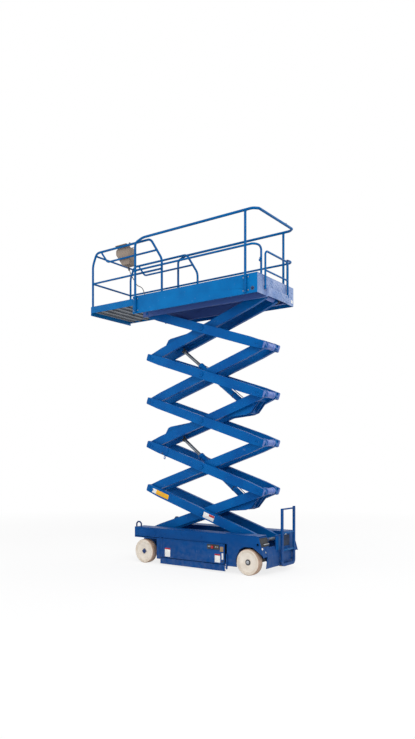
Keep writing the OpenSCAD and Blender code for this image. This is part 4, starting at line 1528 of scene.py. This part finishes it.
@dataclass
class RollOut:
    """Roll-out deck fittings, the control box and its cable."""

    front: float = 2.387
    rear: float = 0.640
    half: float = 0.538
    hoop_y: float = 0.5118
    hoop_x: float = 2.3608
    box_x: tuple[float, float] = (1.484, 1.814)
    box_y: tuple[float, float] = (0.300, 0.478)
    cable_radius: float = 0.007

    def build(self) -> None:
        """Models the roll-out fittings."""
        self._boards()
        self._controls()
        self._cable()
        self._hoops()

    def _boards(self) -> None:
        """Painted skins on the side and front boards, with a rolled top edge."""
        low, high = DECK_Z + 0.0004, DECK_Z + 0.118
        skins = []
        for way in (1, -1):
            y = way * self.half
            skins.append(
                Bench.block(
                    at(self.rear, y - way * 0.0065, low), at(self.front, y + way * 0.0005, high + 0.0005),
                    0.001
                )
            )
            skins.append(
                Bench.tube(
                    [
                        at(self.rear + 0.004, y - way * 0.003, high - 0.002),
                        at(self.front - 0.004, y - way * 0.003, high - 0.002)
                    ],
                    0.0055
                )
            )
        skins.append(
            Bench.block(
                at(self.front - 0.0065, -self.half, DECK_Z - 0.042),
                at(self.front + 0.0005, self.half, high + 0.0005), 0.001
            )
        )
        Bench.fit(skins, "roll_out_boards", BOARD, "roll_out", "blue_paint")

    def _controls(self) -> None:
        """Control console: wedge case, lid, joystick, stop knob, switches, guard bar, hook."""
        top = TOP_Z + 1.2
        (x0, x1), (y0, y1) = self.box_x, self.box_y
        side = (
            (x0, top - 0.306), (x1 - 0.15, top - 0.306), (x1, top - 0.094), (x1, top - 0.018),
            (x1 - 0.02, top), (x0, top)
        )
        case = Bench.plate([at(x, y0, z) for x, z in side], Vector((0, y1 - y0, 0)), 0.012)
        lid = Bench.card((x0 + 0.012, x1 - 0.03), (top - 0.058, top - 0.05), y0 - 0.003, 0.004, 0.0015)
        ribs = [
            Bench.block(
                at(x0 - 0.003, y0 + 0.03 + i * 0.03, top - 0.28),
                at(x0 + 0.002, y0 + 0.045 + i * 0.03, top - 0.09), 0.002
            )
            for i in range(4)
        ]
        shape = (
            (0.44, -0.02), (0.44, 0.046), (0.5418, 0.046), (0.5418, 0.0363), (0.478, 0.0363), (0.478, -0.02)
        )
        hook = Bench.plate(
            [at(x0 + 0.02, y, top + h) for y, h in shape], Vector((x1 - x0 - 0.06, 0, 0)), 0.003
        )
        Bench.fit([case, lid, hook] + ribs, "control_case", TAUPE, "roll_out", "tan_plastic", "control_box")
        boot = Bench.turned(
            [
                (0.03, -0.001), (0.03, 0.004), (0.024, 0.01), (0.026, 0.015), (0.019, 0.022), (0.02, 0.027),
                (0.012, 0.036), (0.009, 0.04), (0, 0.04)
            ],
            at(x0 + 0.09, 0.37, top), Axis.Z, 28
        )
        stick = Bench.turned(
            [
                (0.006, 0.03), (0.006, 0.06), (0.017, 0.066), (0.02, 0.085), (0.018, 0.11), (0.01, 0.118),
                (0, 0.12)
            ],
            at(x0 + 0.09, 0.37, top), Axis.Z, 24
        )
        keys = [
            Bench.block(at(x0 + d, 0.34, top - 0.001), at(x0 + d + 0.018, 0.37, top + 0.01), 0.003)
            for d in (0.15, 0.18, 0.21)
        ]
        Bench.fit([boot, stick] + keys, "control_stick", BLACK, "roll_out", "black_plastic")
        knob = Bench.turned(
            [(0.01, -0.001), (0.01, 0.01), (0.021, 0.012), (0.023, 0.02), (0.018, 0.027), (0, 0.029)],
            at(x1 - 0.06, 0.37, top), Axis.Z, 28
        )
        Bench.fit(knob, "control_stop_knob", RED, "roll_out", "black_plastic")
        bends = ((x0 + 0.03, -0.005), (x0 + 0.03, 0.035), (x1 - 0.04, 0.035), (x1 - 0.04, -0.005))
        guard = Bench.tube([at(x, 0.318, top + h) for x, h in bends], 0.006, 0.03)
        Bench.fit(guard, "control_guard_bar", STEEL, "roll_out", "steel")

    def _cable(self) -> None:
        """Cable from the control box down to its socket on the deck."""
        route = [
            at(1.650, 0.310, TOP_Z + 0.8913), at(1.610, 0.300, TOP_Z + 0.770),
            at(1.525, 0.300, TOP_Z + 0.640), at(1.456, 0.300, TOP_Z + 0.546), at(1.320, 0.300, TOP_Z + 0.450),
            at(1.225, 0.300, DECK_Z + 0.047)
        ]
        line = self._eased(route)
        obj = Bench.bar("control_cable", line, self.cable_radius, 4)
        obj.data.materials.append(BLACK.material())
        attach(obj, "roll_out")
        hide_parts("control_cord")
        gland = Bench.turned(
            [
                (0, 0.003), (0.016, 0.003), (0.018, 0.0), (0.018, -0.012), (0.013, -0.018), (0.012, -0.04),
                (0.0085, -0.05), (0.0, -0.05)
            ],
            at(1.650, 0.310, TOP_Z + 0.89), Axis.Z, 24
        )
        socket = Bench.turned(
            [
                (0, -0.003), (0.026, -0.003), (0.026, 0.004), (0.019, 0.008), (0.017, 0.03), (0.013, 0.034),
                (0.0115, 0.055), (0.008, 0.06), (0, 0.06)
            ],
            at(1.225, 0.300, DECK_Z + 0.047), Vector(line[-2] - line[-1]), 24
        )
        plugs = Bench.fit([gland, socket], "control_cable_ends", BLACK, "roll_out", "black_plastic")

    @staticmethod
    def _eased(route: list[Vector]) -> list[Vector]:
        """A smooth line through the cable's points (Catmull-Rom).

        Args:
            route: Points that the cable passes.

        Returns:
            The centre line.
        """
        ends = [route[0] * 2 - route[1]] + route + [route[-1] * 2 - route[-2]]
        line = []
        for p0, p1, p2, p3 in zip(ends, ends[1:], ends[2:], ends[3:]):
            square, cube = 2 * p0 - 5 * p1 + 4 * p2 - p3, 3 * p1 - p0 - 3 * p2 + p3
            for i in range(BEND_STEPS):
                t = i / BEND_STEPS
                line.append(0.5 * (2 * p1 + (p2 - p0) * t + square * t * t + cube * t ** 3))
        line.append(route[-1].copy())
        return line

    def _hoops(self) -> None:
        """Bent guard hoops on the roll-out deck, their feet, and the deck's pull handle."""
        top, up, mid, foot = TOP_Z + 1.216, TOP_Z + 1.002, TOP_Z + 0.665, DECK_Z + 0.044
        front, rear = self.hoop_x, self.rear + 0.068
        for side, way in SIDES:
            y = way * self.hoop_y
            hoop = [
                Bench.tube(
                    [
                        at(front, y, foot), at(front, y, up), at(front - 0.1, y, top),
                        at(rear + 0.25, y, top), at(rear, y, up - 0.17), at(rear, y, foot)
                    ],
                    0.02, 0.07, 5
                ),
                Bench.tube(
                    [at(front - 0.214, y, top), at(front - 0.372, y, up), at(rear + 0.118, y, up)], 0.017,
                    0.05, 5
                ),
                Bench.tube([at(front, y, mid), at(rear, y, mid)], 0.017, sides=5)
            ]
            hoop += [
                Bench.weld(at(front, y, mid), Axis.BACK, 0.017, 0.02),
                Bench.weld(at(rear, y, mid), Axis.X, 0.017, 0.02)
            ]
            hoop += [
                Bench.turned(
                    [
                        (0.0195, 0.0), (0.026, 0.0), (0.026, 0.006), (0.023, 0.01), (0.0212, 0.03),
                        (0.0195, 0.032)
                    ],
                    at(x, y, foot), Axis.Z, 28
                )
                for x in (front, rear)
            ]
            Bench.fit(hoop, f"hoop_{side}_bent", RAIL_SHADED, "roll_out", "blue_paint", f"ext_rail_{side}")
        reach = self.hoop_y - 0.0208
        levels = ((front, mid), (front - 0.076, up + 0.163))
        bars = [Bench.tube([at(x, -reach, z), at(x, reach, z)], 0.017, sides=5) for x, z in levels]
        bars += [
            Bench.weld(at(x, w * self.hoop_y, z), outward(-w), 0.017, 0.02)
            for x, z in levels
            for w in (1, -1)
        ]
        Bench.fit(bars, "hoop_front_bars", RAIL_SHADED, "roll_out", "blue_paint", "ext_rail_front")
        bends = ((-0.2, foot), (-0.2, DECK_Z + 0.13), (0.0, DECK_Z + 0.13), (0.0, foot))
        handle = Bench.tube([at(self.rear + 0.05, y, z) for y, z in bends], 0.008, 0.03)
        Bench.fit(handle, "roll_out_handle", RAIL_SHADED, "roll_out", "blue_paint")


@dataclass
class Studio:
    """Camera, floor and light."""

    eye: Point = (-6.1538, 8.7834, 1.7827)
    yaw: float = -0.9506
    focal_px: float = 630.45
    horizon_px: float = 459.27
    frame_px: tuple[int, int] = (415, 739)
    sensor_mm: float = 36.0
    floor_m: float = 120.0
    floor_z: float = -0.0005
    floor_share: float = 0.8
    floor_fade: tuple[float, float] = (5.0, 12.0)
    ambient: float = 0.62

    def build(self) -> None:
        """Makes the camera at the photograph's view, the floor, the lamps and the world."""
        scene = bpy.context.scene
        scene.view_settings.view_transform = "Standard"
        cam = bpy.data.cameras.new("camera")
        cam.sensor_width = self.sensor_mm
        cam.lens = self.focal_px * self.sensor_mm / self.frame_px[1]
        cam.shift_y = (self.horizon_px - self.frame_px[1] / 2) / self.frame_px[1]
        cam.clip_end = 200
        obj = bpy.data.objects.new("camera", cam)
        scene.collection.objects.link(obj)
        obj.location = at(*self.eye)
        obj.rotation_euler = Vector(
            (math.cos(self.yaw), math.sin(self.yaw), 0)
        ).to_track_quat("-Z", "Y").to_euler()
        scene.camera = obj
        self._floor()
        self._lamps()
        self._world()

    def _floor(self) -> None:
        """A wide pale floor that keeps the shadow and runs out to white."""
        bpy.ops.object.select_all(action="DESELECT")
        bpy.ops.mesh.primitive_plane_add(size=self.floor_m, location=(0, 0, self.floor_z))
        floor = bpy.context.active_object
        floor.name = "floor"
        mat = bpy.data.materials.new("floor_pale")
        mat.use_nodes = True
        tree = mat.node_tree
        bsdf = tree.nodes["Principled BSDF"]
        bsdf.inputs["Base Color"].default_value = (0.95, 0.95, 0.95, 1)
        bsdf.inputs["Roughness"].default_value = 0.95
        glow = tree.nodes.new("ShaderNodeEmission")
        glow.inputs["Strength"].default_value = 1.0
        blend = tree.nodes.new("ShaderNodeMixShader")
        coord = tree.nodes.new("ShaderNodeTexCoord")
        reach = tree.nodes.new("ShaderNodeVectorMath")
        reach.operation = "LENGTH"
        tree.links.new(coord.outputs["Object"], reach.inputs[0])
        fade = tree.nodes.new("ShaderNodeMapRange")
        fade.inputs["From Min"].default_value, fade.inputs["From Max"].default_value = self.floor_fade
        fade.inputs["To Min"].default_value = self.floor_share
        tree.links.new(reach.outputs["Value"], fade.inputs[0])
        tree.links.new(calc(tree, "MULTIPLY", self._seen(tree), fade.outputs[0]), blend.inputs[0])
        tree.links.new(bsdf.outputs[0], blend.inputs[1])
        tree.links.new(glow.outputs[0], blend.inputs[2])
        tree.links.new(blend.outputs[0], tree.nodes["Material Output"].inputs[0])
        floor.data.materials.append(mat)

    @staticmethod
    def _seen(tree: bpy.types.NodeTree) -> bpy.types.NodeSocket:
        """1 for rays from the camera, in reflections and through glass.

        Args:
            tree: Node tree to add to.

        Returns:
            The value's socket.
        """
        path = tree.nodes.new("ShaderNodeLightPath")
        value = path.outputs["Is Camera Ray"]
        for name in ("Is Glossy Ray", "Is Transmission Ray"):
            value = calc(tree, "MAXIMUM", value, path.outputs[name])
        return value

    def _lamps(self) -> None:
        """Three large soft lamps: two on the camera's side, one behind."""
        for name, place, aim, size, power in (
            ("key", (-6.5, 6.0, 8.5), (0.3, 0.0, 2.6), 6.0, 520.0),
            ("fill", (5.5, 8.0, 4.0), (0.3, 0.0, 2.2), 7.0, 200.0),
            ("back", (-5.0, -7.0, 6.5), (0.3, 0.0, 2.6), 6.0, 180.0),
        ):
            lamp = bpy.data.lights.new(name, "AREA")
            lamp.size, lamp.energy = size, power
            obj = bpy.data.objects.new(name, lamp)
            bpy.context.scene.collection.objects.link(obj)
            obj.location = place
            obj.rotation_euler = (Vector(aim) - Vector(place)).to_track_quat("-Z", "Y").to_euler()

    def _world(self) -> None:
        """Even grey light, seen as white by the camera and in reflections."""
        world = bpy.data.worlds.new("world")
        bpy.context.scene.world = world
        world.use_nodes = True
        tree = world.node_tree
        back = tree.nodes["Background"]
        span = tree.nodes.new("ShaderNodeMapRange")
        span.inputs["To Min"].default_value = self.ambient
        span.inputs["To Max"].default_value = 1.0
        tree.links.new(self._seen(tree), span.inputs[0])
        tree.links.new(span.outputs[0], back.inputs["Strength"])
        back.inputs["Color"].default_value = (1, 1, 1, 1)


def main() -> None:
    """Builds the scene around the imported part."""
    logging.basicConfig(level=logging.INFO, format="%(message)s")
    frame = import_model()
    dress_nodes(frame)
    Studio().build()
    for assembly in (Wheels(), Base(), Scissor(), Platform(), RollOut()):
        assembly.build()


if __name__ == "__main__":
    main()
